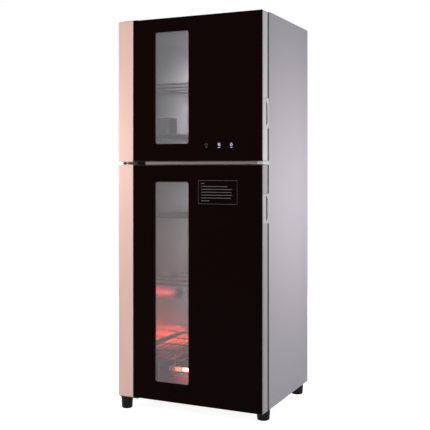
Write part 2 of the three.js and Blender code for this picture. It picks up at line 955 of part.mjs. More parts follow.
const holderBack = chamberBack - clearance;
const rearLugs = lugPlaces(rearTubeEndGap);
add(
  "rear_heater_holder",
  stainless,
  cut(
    join(
      block(
        rearLugs[0],
        rearLugs[1] + holderSheet,
        holderBack - holderSheet,
        holderBack,
        rearTubeZ - holderWidth / 2,
        rearTubeZ + holderWidth / 2,
      ),
      ...rearLugs.map((x) =>
        block(
          x,
          x + holderSheet,
          rearTubeY - tubeReach,
          holderBack,
          rearTubeZ - holderWidth / 2,
          rearTubeZ + holderWidth / 2,
        ),
      ),
    ),
    ...tubeHoles(rearLugs, rearTubeY, rearTubeZ),
  ),
);

// Wire guard over the bottom tube, standing on four legs
function heaterGuard() {
  const left = mouthLeft + guardEndGap;
  const right = mouthRight - guardEndGap;
  const front = bottomTubeY - guardDepth / 2;
  const back = bottomTubeY + guardDepth / 2;
  const height = lowerMouthBottom + guardRise;
  const radius = guardWire / 2;
  const pitch = (right - left) / (guardHoopCount - 1);
  const crossings = Array.from({ length: guardHoopCount }, (_, i) => {
    const x = left + i * pitch;
    return rod([x, front, height], [x, back, height], radius, frameSides);
  });
  const rails = [front, back].map((y) => rod([left, y, height], [right, y, height], radius, frameSides));
  const legs = [left, right].flatMap((x) =>
    [front, back].map((y) => rod([x, y, holderFloor], [x, y, height], radius, frameSides)),
  );
  return join(...rails, ...crossings, ...legs);
}
add("heater_guard", chromeWire, heaterGuard());

// Ozone generator: a bevelled box with outlet slots in its face
function ozoneGenerator() {
  const wallFace = mouthLeft + clearance + plateSheet + clearance;
  const face = wallFace + ozoneWidth;
  const middle = linerFront + ozoneMiddleShare * (chamberBack - linerFront);
  const front = middle - ozoneDepth / 2;
  const back = middle + ozoneDepth / 2;
  const bottom = upperSurfaces[0] + ozoneRackGap;
  const height = ozoneHeightShare * (upperSurfaces[1] - upperSurfaces[0]);
  const body = prismZ(
    outline([
      [wallFace, front],
      [face - ozoneChamfer, front],
      [face, front + ozoneChamfer],
      [face, back - ozoneChamfer],
      [face - ozoneChamfer, back],
      [wallFace, back],
    ]),
    bottom,
    bottom + height,
  );
  const pitch = height / (ozoneSlotCount + 1);
  const slotHeight = ozoneSlotShare * pitch;
  const slots = Array.from({ length: ozoneSlotCount }, (_, i) => {
    const slotBottom = bottom + (i + 1) * pitch - slotHeight / 2;
    return block(
      face - ozoneSlotDepth,
      face + overrun,
      front + 2 * ozoneChamfer,
      back - 2 * ozoneChamfer,
      slotBottom,
      slotBottom + slotHeight,
    );
  });
  return cut(solid(body), ...slots);
}
add("ozone_generator", greyPlastic, ozoneGenerator());

// Electrics on the lower chamber's roof
const roof = lowerMouthTop + linerSheet + clearance;
const powerBoxMiddle = linerFront + powerBoxMiddleShare * (chamberBack - linerFront);
add(
  "power_board_box",
  greyPlastic,
  block(
    width - powerBoxRight - powerBoxWidth,
    width - powerBoxRight,
    powerBoxMiddle - powerBoxDepth / 2,
    powerBoxMiddle + powerBoxDepth / 2,
    roof,
    roof + powerBoxHeight,
  ),
);
add(
  "thermostat",
  darkPlastic,
  turned(
    [
      [0, 0],
      [thermostatFlange, 0],
      [thermostatFlange, thermostatFlangeHeight],
      [thermostatRadius, thermostatFlangeHeight],
      [thermostatRadius, thermostatHeight],
      [0, thermostatHeight],
    ],
    width - thermostatRight,
    linerFront + thermostatMiddleShare * (chamberBack - linerFront),
    roof,
  ),
);

// Magnetic door switches behind the front frame
function doorSwitch(middle) {
  const left = width - switchRight - switchWidth;
  return block(
    left,
    left + switchWidth,
    frameBack + clearance,
    frameBack + clearance + switchDepth,
    middle - switchHeight / 2,
    middle + switchHeight / 2,
  );
}
add("upper_door_switch", darkPlastic, doorSwitch(middleLeafMiddle + switchSpread));
add("lower_door_switch", darkPlastic, doorSwitch(middleLeafMiddle - switchSpread));

// Feet
function foot(x, y, top, radius) {
  const bottomRadius = radius - footTaper;
  return turned(
    [
      [0, -footHeight],
      [bottomRadius - footEdge, -footHeight],
      [bottomRadius, footEdge - footHeight],
      [radius, top],
      [0, top],
    ],
    x,
    y,
    0,
  );
}
const plateFootTop = plateTop - leafThickness - clearance;
const footLeft = footSideInset;
const footRight = width - footSideInset;
const rearFootMiddle = depth - footRearSetback;
const hingeFoot = foot(hingeFootLeft, hingeFootSetback, plateFootTop, hingeFootRadius);
add("front_left_foot", footRubber, hingeFoot);
add("front_right_foot", footRubber, foot(footRight, footFrontSetback, -clearance, footRadius));
add("rear_left_foot", footRubber, foot(footLeft, rearFootMiddle, -clearance, footRadius));
add("rear_right_foot", footRubber, foot(footRight, rearFootMiddle, -clearance, footRadius));

const part = new THREE.Group();
cabinet.position.set(-width / 2, -depth / 2, footHeight);
part.add(cabinet);

export default part;
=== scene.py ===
# %% [markdown]
# This file dresses a dish sterilizer cabinet: two hinged doors of dark glass over a small and a tall
# chamber, with wire racks, heater tubes and four rubber feet. The construction comes in as a fixed
# frame, and its pieces are measured, never moved. Here each bare solid gets the fine shape and the
# finish of the real piece. Lengths are millimetres, taken from the corner where the doors' left edge,
# the doors' front face and the underside of the casing meet.

# %% Load the frame
import json
import math

import bmesh
import bpy
from mathutils import Matrix, Vector


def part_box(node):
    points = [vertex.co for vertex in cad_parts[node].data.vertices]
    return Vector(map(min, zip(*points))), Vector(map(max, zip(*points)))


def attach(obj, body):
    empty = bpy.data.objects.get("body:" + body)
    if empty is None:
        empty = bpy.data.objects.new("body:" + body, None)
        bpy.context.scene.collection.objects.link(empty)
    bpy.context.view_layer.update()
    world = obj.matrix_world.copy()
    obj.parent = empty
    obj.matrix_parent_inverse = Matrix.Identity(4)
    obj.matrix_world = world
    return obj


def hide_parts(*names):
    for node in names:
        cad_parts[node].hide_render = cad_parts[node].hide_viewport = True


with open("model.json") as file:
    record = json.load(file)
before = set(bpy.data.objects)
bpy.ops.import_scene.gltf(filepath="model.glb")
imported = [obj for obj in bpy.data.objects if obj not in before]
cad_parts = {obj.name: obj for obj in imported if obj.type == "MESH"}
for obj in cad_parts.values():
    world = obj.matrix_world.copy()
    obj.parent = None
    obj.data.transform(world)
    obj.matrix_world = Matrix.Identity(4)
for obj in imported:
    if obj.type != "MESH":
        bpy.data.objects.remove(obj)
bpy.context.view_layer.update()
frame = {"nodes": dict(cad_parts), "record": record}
MM = 0.001
corner = Vector((*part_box("lower_door_trim_strip")[0].xy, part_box("base_panel")[0].z))
to_frame = Matrix.Translation(corner) @ Matrix.Scale(MM, 4)
bodies = frame["record"]["behaviour"]["bodies"]
body_of_node = {node: body for body, nodes in bodies.items() for node in nodes}


def place(x, y, z):
    """A point of the frame, from millimetres."""
    return to_frame @ Vector((x, y, z))


def measure(node):
    """Lowest and highest corner of a node in millimetres."""
    return [to_frame.inverted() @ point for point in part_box(node)]


# %% [markdown]
# The camera stands to the right of the cabinet, a little over two metres away and level, at about six
# tenths of its height. It could be tilted to centre the cabinet, but then the upright edges would lean. So
# it stays level, and the picture is framed with a small shift of the lens, as architects' cameras do.

# %% Camera
camera_place = (1167, -1884, 622)
camera_yaw = 24.88
lens = 67.0
framing_shift = -0.107

camera_data = bpy.data.cameras.new("camera")
camera_data.lens = lens
camera_data.shift_y = framing_shift
camera = bpy.data.objects.new("camera", camera_data)
camera.location = place(*camera_place)
camera.rotation_euler = (math.radians(90), 0, math.radians(camera_yaw))
bpy.context.scene.collection.objects.link(camera)
bpy.context.scene.camera = camera
bpy.context.scene.view_settings.view_transform = "Standard"
print("camera", [round(value, 3) for value in camera.location])

# %% [markdown]
# A product shot is lit by a few large soft lamps. Small hard ones would leave bright spots on the glass.
# The front softbox stands behind the camera and shines through the windows onto the walls that the camera
# sees. One at the left models the rose-gold strip, one close to the right panel makes its middle brighter
# than its ends, and two more light the top and the back.

# %% Lamps
lamp_colour = (1.0, 0.985, 0.97)
lamps = {
    # name: place and aim in metres from the middle of the floor, width, height, power in watts
    "front_softbox": ((0.95, -2.5, 1.35), (-0.05, -0.15, 0.72), 1.6, 1.2, 27),
    "left_softbox": ((-1.1, -0.95, 0.72), (-0.2, -0.18, 0.66), 0.45, 0.45, 5.4),
    "right_softbox": ((0.74, 0.1, 0.6), (0.2, 0.05, 0.59), 0.3, 0.3, 3.7),
    "top_softbox": ((0.2, -0.3, 2.6), (0, 0, 0.6), 1.2, 1.2, 10),
    "back_softbox": ((-0.6, 1.9, 0.95), (0, 0.2, 0.55), 0.6, 0.6, 17),
}
for name, (stand, aim, width, height, power) in lamps.items():
    lamp_data = bpy.data.lights.new(name, "AREA")
    lamp_data.shape = "RECTANGLE"
    lamp_data.size = width
    lamp_data.size_y = height
    lamp_data.energy = power
    lamp_data.color = lamp_colour
    lamp = bpy.data.objects.new(name, lamp_data)
    lamp.location = stand
    lamp.rotation_euler = (Vector(aim) - Vector(stand)).to_track_quat("-Z", "Y").to_euler()
    bpy.context.scene.collection.objects.link(lamp)
print(len(lamps), "lamps")

# %% [markdown]
# The surroundings are white for the rays that look straight at them, and for those that see them in a
# mirror or through glass. For all other rays the world is nearly dark. A world that is white for all of
# them would wash the cabinet out. One helper gives that switch to the world and to the floor.

# %% World
world_fill = 0.08


def seen_directly(tree):
    """A socket that is 1 for camera, mirror and see-through rays, and 0 for the light on the object."""
    path = tree.nodes.new("ShaderNodeLightPath")
    total = path.outputs["Is Camera Ray"]
    for ray in ("Is Glossy Ray", "Is Transmission Ray"):
        adder = tree.nodes.new("ShaderNodeMath")
        adder.operation = "ADD"
        adder.use_clamp = True
        tree.links.new(total, adder.inputs[0])
        tree.links.new(path.outputs[ray], adder.inputs[1])
        total = adder.outputs[0]
    return total


world = bpy.data.worlds.new("studio")
world.use_nodes = True
bpy.context.scene.world = world
strength = world.node_tree.nodes.new("ShaderNodeMapRange")
strength.inputs["To Min"].default_value = world_fill
strength.inputs["To Max"].default_value = 1
world.node_tree.links.new(seen_directly(world.node_tree), strength.inputs["Value"])
background = world.node_tree.nodes["Background"]
background.inputs["Color"].default_value = (1, 1, 1, 1)
world.node_tree.links.new(strength.outputs["Result"], background.inputs["Strength"])
print("world at", world_fill, "of white for the light on the cabinet")

# %% [markdown]
# A white floor would throw much light up at the cabinet. So the floor is a matt grey sheet that glows for
# the same direct rays alone: it looks nearly white, and it keeps the soft shadow under the feet.

# %% Floor
floor_size = 12
floor_white = 0.4
floor_lift = 0.9
floor_roughness = 0.9
floor_mesh = bpy.data.meshes.new("floor")
half = floor_size / 2
floor_mesh.from_pydata(
    [(-half, -half, 0), (half, -half, 0), (half, half, 0), (-half, half, 0)], [], [(0, 1, 2, 3)]
)
floor = bpy.data.objects.new("floor", floor_mesh)
bpy.context.scene.collection.objects.link(floor)
floor_paint = bpy.data.materials.new("floor_paint")
floor_paint.use_nodes = True
floor_tree = floor_paint.node_tree
paint = floor_tree.nodes["Principled BSDF"]
paint.inputs["Base Color"].default_value = (floor_white, floor_white, floor_white, 1)
paint.inputs["Roughness"].default_value = floor_roughness
paint.inputs["Emission Color"].default_value = (1, 1, 1, 1)
lift = floor_tree.nodes.new("ShaderNodeMath")
lift.operation = "MULTIPLY"
lift.inputs[1].default_value = floor_lift
floor_tree.links.new(seen_directly(floor_tree), lift.inputs[0])
floor_tree.links.new(lift.outputs[0], paint.inputs["Emission Strength"])
floor_mesh.materials.append(floor_paint)
print("floor", floor_size, "m wide")

# %% [markdown]
# A finish starts as one shader, with its plain colour, gloss and metal set on its own sockets. Colours are
# written as a screen shows them, because that is easy to judge, and turned into the linear numbers
# that light is reckoned in. Each finish also keeps the name of the slot that it belongs to.

# %% Plain finishes
def srgb(red, green, blue):
    """A colour as a screen shows it, 0 to 255, turned into the linear numbers that a shader takes."""
    shares = [value / 255 for value in (red, green, blue)]
    return [s / 12.92 if s <= 0.04045 else ((s + 0.055) / 1.055) ** 2.4 for s in shares]


def finish(name, slot, colour, roughness, metal=0.0, shine=0.5, see_through=0.0):
    """A material that is the same all over."""
    material = bpy.data.materials.new(name)
    material.use_nodes = True
    shader = material.node_tree.nodes["Principled BSDF"]
    shader.inputs["Base Color"].default_value = (*colour, 1)
    shader.inputs["Roughness"].default_value = roughness
    shader.inputs["Metallic"].default_value = metal
    shader.inputs["Specular IOR Level"].default_value = shine
    shader.inputs["Alpha"].default_value = 1 - see_through
    material["slot"] = slot
    return material


print("a screen's middle grey is", round(srgb(128, 128, 128)[0], 3), "of white as light")

# %% [markdown]
# What makes a finish look made is laid over that: a colour that drifts a little, a gloss that is uneven,
# and a relief, on most finishes of less than a twentieth of a millimetre. Photographs of real surfaces
# could give these, but they blur close up. All three come from noise in the piece's own space, so they
# stay sharp, and stay put when a door swings. A stretch over 1 packs the pattern closer along that axis.

# %% Uneven colour, gloss and relief
def speckle(material, grain, stretch=(1, 1, 1), detail=3):
    """Noise with grains of about that many millimetres."""
    tree = material.node_tree
    space = tree.nodes.new("ShaderNodeTexCoord")
    mapping = tree.nodes.new("ShaderNodeMapping")
    mapping.inputs["Scale"].default_value = stretch
    noise = tree.nodes.new("ShaderNodeTexNoise")
    noise.inputs["Scale"].default_value = 1 / (grain * MM)
    noise.inputs["Detail"].default_value = detail
    tree.links.new(space.outputs["Object"], mapping.inputs["Vector"])
    tree.links.new(mapping.outputs["Vector"], noise.inputs["Vector"])
    return noise.outputs["Fac"]


def vary_colour(material, other, grain, stretch=(1, 1, 1)):
    """The base colour drifts towards another one."""
    tree = material.node_tree
    shader = tree.nodes["Principled BSDF"]
    mix = tree.nodes.new("ShaderNodeMix")
    mix.data_type = "RGBA"
    mix.inputs["A"].default_value = shader.inputs["Base Color"].default_value
    mix.inputs["B"].default_value = (*other, 1)
    tree.links.new(speckle(material, grain, stretch), mix.inputs["Factor"])
    tree.links.new(mix.outputs["Result"], shader.inputs["Base Color"])


def vary_gloss(material, low, high, grain, stretch=(1, 1, 1)):
    """Roughness moves between two values."""
    tree = material.node_tree
    spread = tree.nodes.new("ShaderNodeMapRange")
    spread.inputs["To Min"].default_value = low
    spread.inputs["To Max"].default_value = high
    tree.links.new(speckle(material, grain, stretch), spread.inputs["Value"])
    tree.links.new(spread.outputs["Result"], tree.nodes["Principled BSDF"].inputs["Roughness"])


def add_relief(material, depth, grain, stretch=(1, 1, 1)):
    """A bump of that depth in millimetres, laid over any bump that is there."""
    tree = material.node_tree
    normal = tree.nodes["Principled BSDF"].inputs["Normal"]
    bump = tree.nodes.new("ShaderNodeBump")
    bump.inputs["Distance"].default_value = depth * MM
    tree.links.new(speckle(material, grain, stretch), bump.inputs["Height"])
    if normal.is_linked:
        tree.links.new(normal.links[0].from_socket, bump.inputs["Normal"])
    tree.links.new(bump.outputs["Normal"], normal)


# %% [markdown]
# Low in the lower chamber the steel is painted darker, browner and duller: painted shade where little
# light reaches, in the brown that stainless steel takes beside a heater. Only the height counts, so a fade
# by height is laid over the colour and the gloss that are there already.

# %% Steel near the heaters, with painted shade low down
def shade_and_heat_tint(material, tint, dullness, dark_height, clear_height):
    """Painted shade low down in a heat-tint brown: dark and dull up to one height in millimetres, clean
    above the other.
    """
    tree = material.node_tree
    space = tree.nodes.new("ShaderNodeTexCoord")
    parts = tree.nodes.new("ShaderNodeSeparateXYZ")
    fade = tree.nodes.new("ShaderNodeMapRange")
    fade.inputs["From Min"].default_value = place(0, 0, dark_height).z
    fade.inputs["From Max"].default_value = place(0, 0, clear_height).z
    tree.links.new(space.outputs["Object"], parts.inputs["Vector"])
    tree.links.new(parts.outputs["Z"], fade.inputs["Value"])
    for socket_name, kind, near in (("Base Color", "RGBA", (*tint, 1)), ("Roughness", "FLOAT", dullness)):
        socket = tree.nodes["Principled BSDF"].inputs[socket_name]
        mix = tree.nodes.new("ShaderNodeMix")
        mix.data_type = kind
        ends = [entry for entry in mix.inputs if entry.enabled and entry.name in ("A", "B")]
        ends[0].default_value = near
        mixed = next(output for output in mix.outputs if output.enabled)
        tree.links.new(fade.outputs["Result"], mix.inputs["Factor"])
        tree.links.new(socket.links[0].from_socket, ends[1])
        tree.links.new(mixed, socket)


# %% [markdown]
# The front is made of two sheets of glass painted black on the back. Painted glass mirrors little and
# swallows the rest, so its colour is almost nothing and its shine is low. The windows are the same glass
# left clear, but it is dark toned, and a grey veil lies over what is inside: a see-through share does
# that without bending light, which keeps the chambers visible from every side.

# %% Finishes of the glass
window_share = 0.84
black_glass = finish("black_glass", "black_glass", srgb(17, 3, 2), 0.04, shine=0.02)
vary_gloss(black_glass, 0.03, 0.06, 60)
add_relief(black_glass, 0.004, 90)

ground_edge = finish("ground_edge", "black_glass", srgb(62, 58, 58), 0.35, shine=0.2)
vary_gloss(ground_edge, 0.3, 0.5, 1.5)

window_veil = srgb(214, 213, 218)
window_glass = finish("window_glass", "black_glass", window_veil, 0.06, shine=0.05, see_through=window_share)
vary_gloss(window_glass, 0.04, 0.09, 40)

clear_glass = finish("clear_glass", "clear_glass", srgb(170, 172, 174), 0.05, shine=0.1, see_through=0.97)
vary_gloss(clear_glass, 0.04, 0.08, 40)
print("the windows let through", window_share, "of what is behind them")

# %% [markdown]
# The strips and profiles of the doors are drawn aluminium, anodised rose gold or silver. Drawing leaves
# fine lines along the length, which noise stretched upwards gives. The silver pieces share one recipe in
# four shades, because they don't catch the same light: the lower door's profile is darker than the upper
# one, its grip lies in between, and the bar in the gap between the doors is the darkest. The printed
# frame on the lower glass is a grey ink.

# %% Finishes of the strips and profiles
rose_gold = finish("rose_gold_anodised", "rose_gold_trim", srgb(240, 203, 195), 0.42, metal=0.25, shine=0.3)
vary_colour(rose_gold, srgb(234, 195, 186), 18, (1, 1, 0.15))
vary_gloss(rose_gold, 0.38, 0.48, 0.9, (1, 1, 0.02))
add_relief(rose_gold, 0.004, 0.8, (1, 1, 0.02))

silver_shades = {
    # name: main colour, drift
    "upper_door": (srgb(192, 189, 192), srgb(184, 180, 183)),
    "lower_door": (srgb(150, 144, 147), srgb(142, 136, 139)),
    "lower_grip": (srgb(168, 163, 166), srgb(160, 155, 158)),
    "gap_bar": (srgb(135, 125, 123), srgb(126, 116, 114)),
}
silvers = {}
for name, (colour, drift) in silver_shades.items():
    silver = finish(f"silver_anodised_{name}", "silver_trim", colour, 0.4, metal=0.3, shine=0.3)
    vary_colour(silver, drift, 14, (1, 1, 0.12))
    vary_gloss(silver, 0.32, 0.44, 0.8, (1, 1, 0.02))
    add_relief(silver, 0.003, 0.7, (1, 1, 0.02))
    silvers[name] = silver

print_grey = finish("printed_grey", "black_glass", srgb(120, 116, 116), 0.5)
vary_colour(print_grey, srgb(96, 92, 93), 1.2)
print(len(silvers), "shades of silver")

# %% [markdown]
# The casing is steel sheet in a metallic grey paint: fine flakes, a slight orange peel, and a soft gloss.
# Inside, the frame and the chambers are brushed stainless sheet. Brushing is noise drawn out along the
# stroke, in the relief and in the gloss alike. Low round the lower heater tube the chamber is painted darker
# and browner: painted shade where little light reaches, in the brown of heat tint. The guard over the tube
# is browned by heat. The racks' thick frames get a darker chrome than their thin wires, because a thick
# polished wire mirrors the dark door.

# %% Finishes of the casing, the chambers and the racks
# The brown of the painted shade low in the lower chamber, a heat-tint colour.
shade_and_heat_brown = srgb(104, 74, 68)
casing_paint = finish("casing_paint", "casing_paint", srgb(168, 165, 172), 0.45, metal=0.1, shine=0.2)
vary_colour(casing_paint, srgb(158, 155, 163), 0.6)
vary_gloss(casing_paint, 0.42, 0.52, 8)
add_relief(casing_paint, 0.006, 2.5)

stainless = finish("brushed_stainless", "stainless", srgb(196, 195, 196), 0.34, metal=0.9)
vary_colour(stainless, srgb(184, 183, 184), 5, (0.05, 1, 1))
vary_gloss(stainless, 0.26, 0.42, 0.6, (0.02, 1, 1))
add_relief(stainless, 0.004, 0.5, (0.02, 1, 1))

chamber_steel = finish("chamber_stainless", "stainless", srgb(226, 225, 227), 0.2, metal=0.85)
vary_colour(chamber_steel, srgb(214, 213, 216), 30, (1, 1, 0.4))
vary_gloss(chamber_steel, 0.19, 0.28, 0.6, (1, 1, 0.02))
# Darker, browner and duller low down: painted shade, in a heat-tint brown.
shade_and_heat_tint(chamber_steel, shade_and_heat_brown, 0.7, dark_height=42, clear_height=84)
add_relief(chamber_steel, 0.004, 0.5, (1, 1, 0.02))

frame_chrome = finish("rack_frame_chrome", "chrome_wire", srgb(104, 102, 104), 0.3, metal=0.7)
guard_steel = finish("guard_wire_steel", "chrome_wire", srgb(150, 132, 128), 0.4, metal=0.5)
shelf_chrome = finish("shelf_wire_chrome", "chrome_wire", srgb(232, 231, 233), 0.4, metal=0.3)
vary_gloss(frame_chrome, 0.24, 0.34, 12)
vary_gloss(guard_steel, 0.3, 0.5, 8)
vary_gloss(shelf_chrome, 0.34, 0.46, 12)
print(len(bpy.data.materials), "finishes so far")

# %% [markdown]
# The smaller pieces follow one recipe: a main colour, a second one that it drifts to, and a relief with
# the grain of the material. Rubber and moulded plastic are dull and finely grained, and wool is deep and
# soft. Smooth plastic would look like a toy, because a mould leaves a fine texture on real plastic.

# %% Finishes of hinges, plastic, rubber and the rest
hinge_steel = finish("dark_hinge_steel", "hinge_steel", srgb(50, 38, 34), 0.42, metal=0.5)
vary_colour(hinge_steel, srgb(38, 29, 26), 4)
add_relief(hinge_steel, 0.01, 1.2)

screw_steel = finish("zinc_screw", "hinge_steel", srgb(170, 168, 164), 0.35, metal=0.9)
vary_gloss(screw_steel, 0.25, 0.45, 1)

dark_plastic = finish("moulded_black_plastic", "dark_plastic", srgb(34, 33, 34), 0.55)
vary_colour(dark_plastic, srgb(26, 25, 26), 6)
add_relief(dark_plastic, 0.02, 0.5)

grey_plastic = finish("moulded_grey_plastic", "grey_plastic", srgb(132, 132, 134), 0.5)
vary_colour(grey_plastic, srgb(120, 120, 122), 8)
add_relief(grey_plastic, 0.02, 0.5)

seal_rubber = finish("seal_rubber", "seal_rubber", srgb(52, 49, 50), 0.7, shine=0.2)
vary_colour(seal_rubber, srgb(44, 41, 42), 5)
add_relief(seal_rubber, 0.02, 0.7)

foot_rubber = finish("foot_rubber", "foot_rubber", srgb(10, 9, 10), 0.62, shine=0.15)
vary_colour(foot_rubber, srgb(16, 14, 16), 5)
add_relief(foot_rubber, 0.03, 0.6)

board_green = finish("circuit_board", "circuit_board", srgb(36, 84, 52), 0.4)
vary_colour(board_green, srgb(28, 66, 42), 3)
add_relief(board_green, 0.05, 2)

wool = finish("mineral_wool", "insulation", srgb(214, 202, 160), 0.95)
vary_colour(wool, srgb(186, 170, 122), 3, (1, 1, 0.3))
add_relief(wool, 0.6, 2, (1, 1, 0.3))

ceramic = finish("ceramic_cap", "quartz", srgb(232, 228, 218), 0.5)
vary_colour(ceramic, srgb(216, 208, 194), 3)
add_relief(ceramic, 0.02, 0.6)
print(len(bpy.data.materials), "finishes so far")

# %% [markdown]
# The heater tubes and the lit keys give light of their own. A lamp inside each could do that, but the eye
# sees the glowing surface itself, so the finish gives the light. A tube is hot in the middle, warm beside
# it and dim at its ends, in a deeper red as it cools. The keys shine so little that they light nothing.

# %% Glowing finishes
def glowing(name, slot, colour, glow, strength, roughness=0.3, see_through=0.0):
    """A finish that gives light of its own."""
    material = finish(name, slot, colour, roughness, see_through=see_through)
    shader = material.node_tree.nodes["Principled BSDF"]
    shader.inputs["Emission Color"].default_value = (*glow, 1)
    shader.inputs["Emission Strength"].default_value = strength
    return material


hot_quartz = glowing("hot_quartz", "quartz", srgb(255, 214, 190), (1.0, 0.085, 0.045), 42)
warm_quartz = glowing("warm_quartz", "quartz", srgb(255, 190, 170), (1.0, 0.025, 0.02), 16)
rear_quartz = glowing("rear_quartz", "quartz", srgb(255, 180, 165), (1.0, 0.07, 0.1), 2.8)
dim_quartz = glowing("dim_quartz", "quartz", srgb(225, 150, 135), (1.0, 0.3, 0.22), 0.7)
for quartz in (hot_quartz, warm_quartz, rear_quartz, dim_quartz):
    vary_gloss(quartz, 0.2, 0.4, 3)
lit_key = glowing("lit_key", "black_glass", srgb(225, 222, 240), srgb(225, 220, 255), 0.9)
dim_key = glowing("dim_key", "black_glass", srgb(70, 66, 68), srgb(120, 112, 116), 0.12)
print(len(bpy.data.materials), "finishes")

# %% [markdown]
# Most of this cabinet is folded sheet, drawn section and turned parts, and all of them start as a flat
# outline: an arc, a rectangle with round corners, or a folded sheet seen end on. The sheet could be put
# together from flat plates, but a real bend is round and catches the light. So its outline follows the
# middle of the sheet, offset to both sides, with an arc at each bend.

# %% Outlines
corner_steps = 6


def arc(u, v, radius, start, end, steps=corner_steps):
    """Points of an arc, its angles in degrees."""
    angles = [math.radians(start + (end - start) * i / steps) for i in range(steps + 1)]
    return [(u + radius * math.cos(a), v + radius * math.sin(a)) for a in angles]


def rectangle(u0, u1, v0, v1, radius=0):
    """Outline of a rectangle, with round corners if a radius is given."""
    if not radius:
        return [(u0, v0), (u1, v0), (u1, v1), (u0, v1)]
    return (
        arc(u1 - radius, v0 + radius, radius, -90, 0)
        + arc(u1 - radius, v1 - radius, radius, 0, 90)
        + arc(u0 + radius, v1 - radius, radius, 90, 180)
        + arc(u0 + radius, v0 + radius, radius, 180, 270)
    )


def folded(route, sheet, bends):
    """Outline of a sheet folded along a route through its middle, with one bend radius per corner."""
    points = [Vector(point) for point in route]
    left, right = [], []

    def add_pair(point, direction):
        across = Vector((-direction.y, direction.x)) * sheet / 2
        left.append(tuple(point + across))
        right.append(tuple(point - across))

    add_pair(points[0], (points[1] - points[0]).normalized())
    for before, here, after, bend in zip(points, points[1:], points[2:], bends):
        way_in = (here - before).normalized()
        way_out = (after - here).normalized()
        turn = math.atan2(way_in.cross(way_out), way_in.dot(way_out))
        start = here - way_in * bend * math.tan(abs(turn) / 2)
        middle = start + Vector((-way_in.y, way_in.x)) * math.copysign(bend, turn)
        for i in range(corner_steps + 1):
            swing = Matrix.Rotation(turn * i / corner_steps, 2)
            add_pair(middle + swing @ (start - middle), swing @ way_in)
    add_pair(points[-1], (points[-1] - points[-2]).normalized())
    return left + right[::-1]


print(corner_steps, "steps to a corner")

# %% [markdown]
# An outline becomes a solid by being drawn out along an axis or, for a turned part, swept round one. Both
# could come from modifiers on a flat mesh, but a mesh that is built point by point has exactly the corners
# that the piece needs, and its faces can be told apart when each gets its finish.

# %% Drawn and turned solids
def spatial(axis, u, v, w):
    """A point of an outline, set at w along the axis that the outline is drawn out on."""
    return {"x": (w, u, v), "y": (u, w, v), "z": (u, v, w)}[axis]


def prism(bm, outline, axis, low, high):
    """An outline drawn out along an axis, from low to high."""
    rings = [[bm.verts.new(spatial(axis, u, v, w)) for u, v in outline] for w in (low, high)]
    faces = [bm.faces.new(ring) for ring in rings]
    count = len(outline)
    for i in range(count):
        j = (i + 1) % count
        faces.append(bm.faces.new((rings[0][i], rings[0][j], rings[1][j], rings[1][i])))
    return faces


def block(bm, low, high):
    """A box between two corners."""
    return prism(bm, rectangle(low[0], high[0], low[1], high[1]), "z", low[2], high[2])


def turned(bm, profile, middle, axis, sides=48):
    """A profile of (radius, height) points swept round an axis; a point of radius 0 closes an end."""
    rings = []
    for radius, height in profile:
        count = sides if radius else 1
        angles = [2 * math.pi * i / sides for i in range(count)]
        around = [(radius * math.cos(a), radius * math.sin(a)) for a in angles]
        rings.append([bm.verts.new(Vector(middle) + Vector(spatial(axis, u, v, height))) for u, v in around])
    for one, other in zip(rings, rings[1:]):
        for i in range(sides):
            j = (i + 1) % sides
            loop = [one[i % len(one)], one[j % len(one)], other[j % len(other)], other[i % len(other)]]
            bm.faces.new(list(dict.fromkeys(loop)))


# %% [markdown]
# Every piece goes the same way from its drawing to its body: its finishes, the body that it moves with, its
# slot, and the bare solid that it stands for. Real edges are never sharp, and a thin bevel catches the
# light along each of them, while normals weighted by area keep the large faces flat.

# %% From a drawing to a piece
sharp_angle = math.radians(30)
flat_angle = math.radians(1)
merge_distance = 0.001
edge_segments = 2


def dress(piece, finishes, node=None, body=None, edge=0):
    """Gives a piece its finishes, seats it on its body and softens its edges."""
    bpy.context.scene.collection.objects.link(piece)
    for material in finishes:
        piece.data.materials.append(material)
    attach(piece, body or body_of_node[node])
    if node:
        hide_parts(node)
    if edge:
        bevel = piece.modifiers.new("soft_edges", "BEVEL")
        bevel.width = edge * MM
        bevel.segments = edge_segments
        bevel.limit_method = "ANGLE"
        bevel.angle_limit = sharp_angle
        piece.modifiers.new("even_flats", "WEIGHTED_NORMAL")
    return piece


def make(name, bm, finishes, node=None, body=None, edge=0.3):
    """Turns a drawing in millimetres into a piece of the cabinet."""
    bm.transform(to_frame)
    bmesh.ops.recalc_face_normals(bm, faces=bm.faces)
    if not edge:
        for line in bm.edges:
            line.smooth = line.calc_face_angle(0) < sharp_angle
    mesh = bpy.data.meshes.new(name)
    bm.to_mesh(mesh)
    bm.free()
    mesh.polygons.foreach_set("use_smooth", [True] * len(mesh.polygons))
    return dress(bpy.data.objects.new(name, mesh), finishes, node, body, edge)


def refine(node, material, edge):
    """A piece with a node's own shape, its facets merged and its edges softened."""
    bm = bmesh.new()
    bm.from_mesh(frame["nodes"][node].data)
    bmesh.ops.remove_doubles(bm, verts=bm.verts, dist=merge_distance * MM)
    bmesh.ops.dissolve_limit(bm, angle_limit=flat_angle, verts=bm.verts, edges=bm.edges)
    bm.transform(to_frame.inverted())
    for face in bm.faces:
        face.material_index = 0
    return make(f"{node}_fine", bm, [material], node, edge=edge)


print("edges over", round(math.degrees(sharp_angle)), "degrees are softened")

# %% [markdown]
# Wire is bent, not mitred, so a wire's line gets each of its corners bent round. A turned mesh along that
# line would work, but a curve with a round bevel gives true round wire from a few points. Thick and thin
# wires of one rack share a curve, and each line's radius says which finish it takes.

# %% Round wires
thick_wire = 2.5
wire_facets = 3


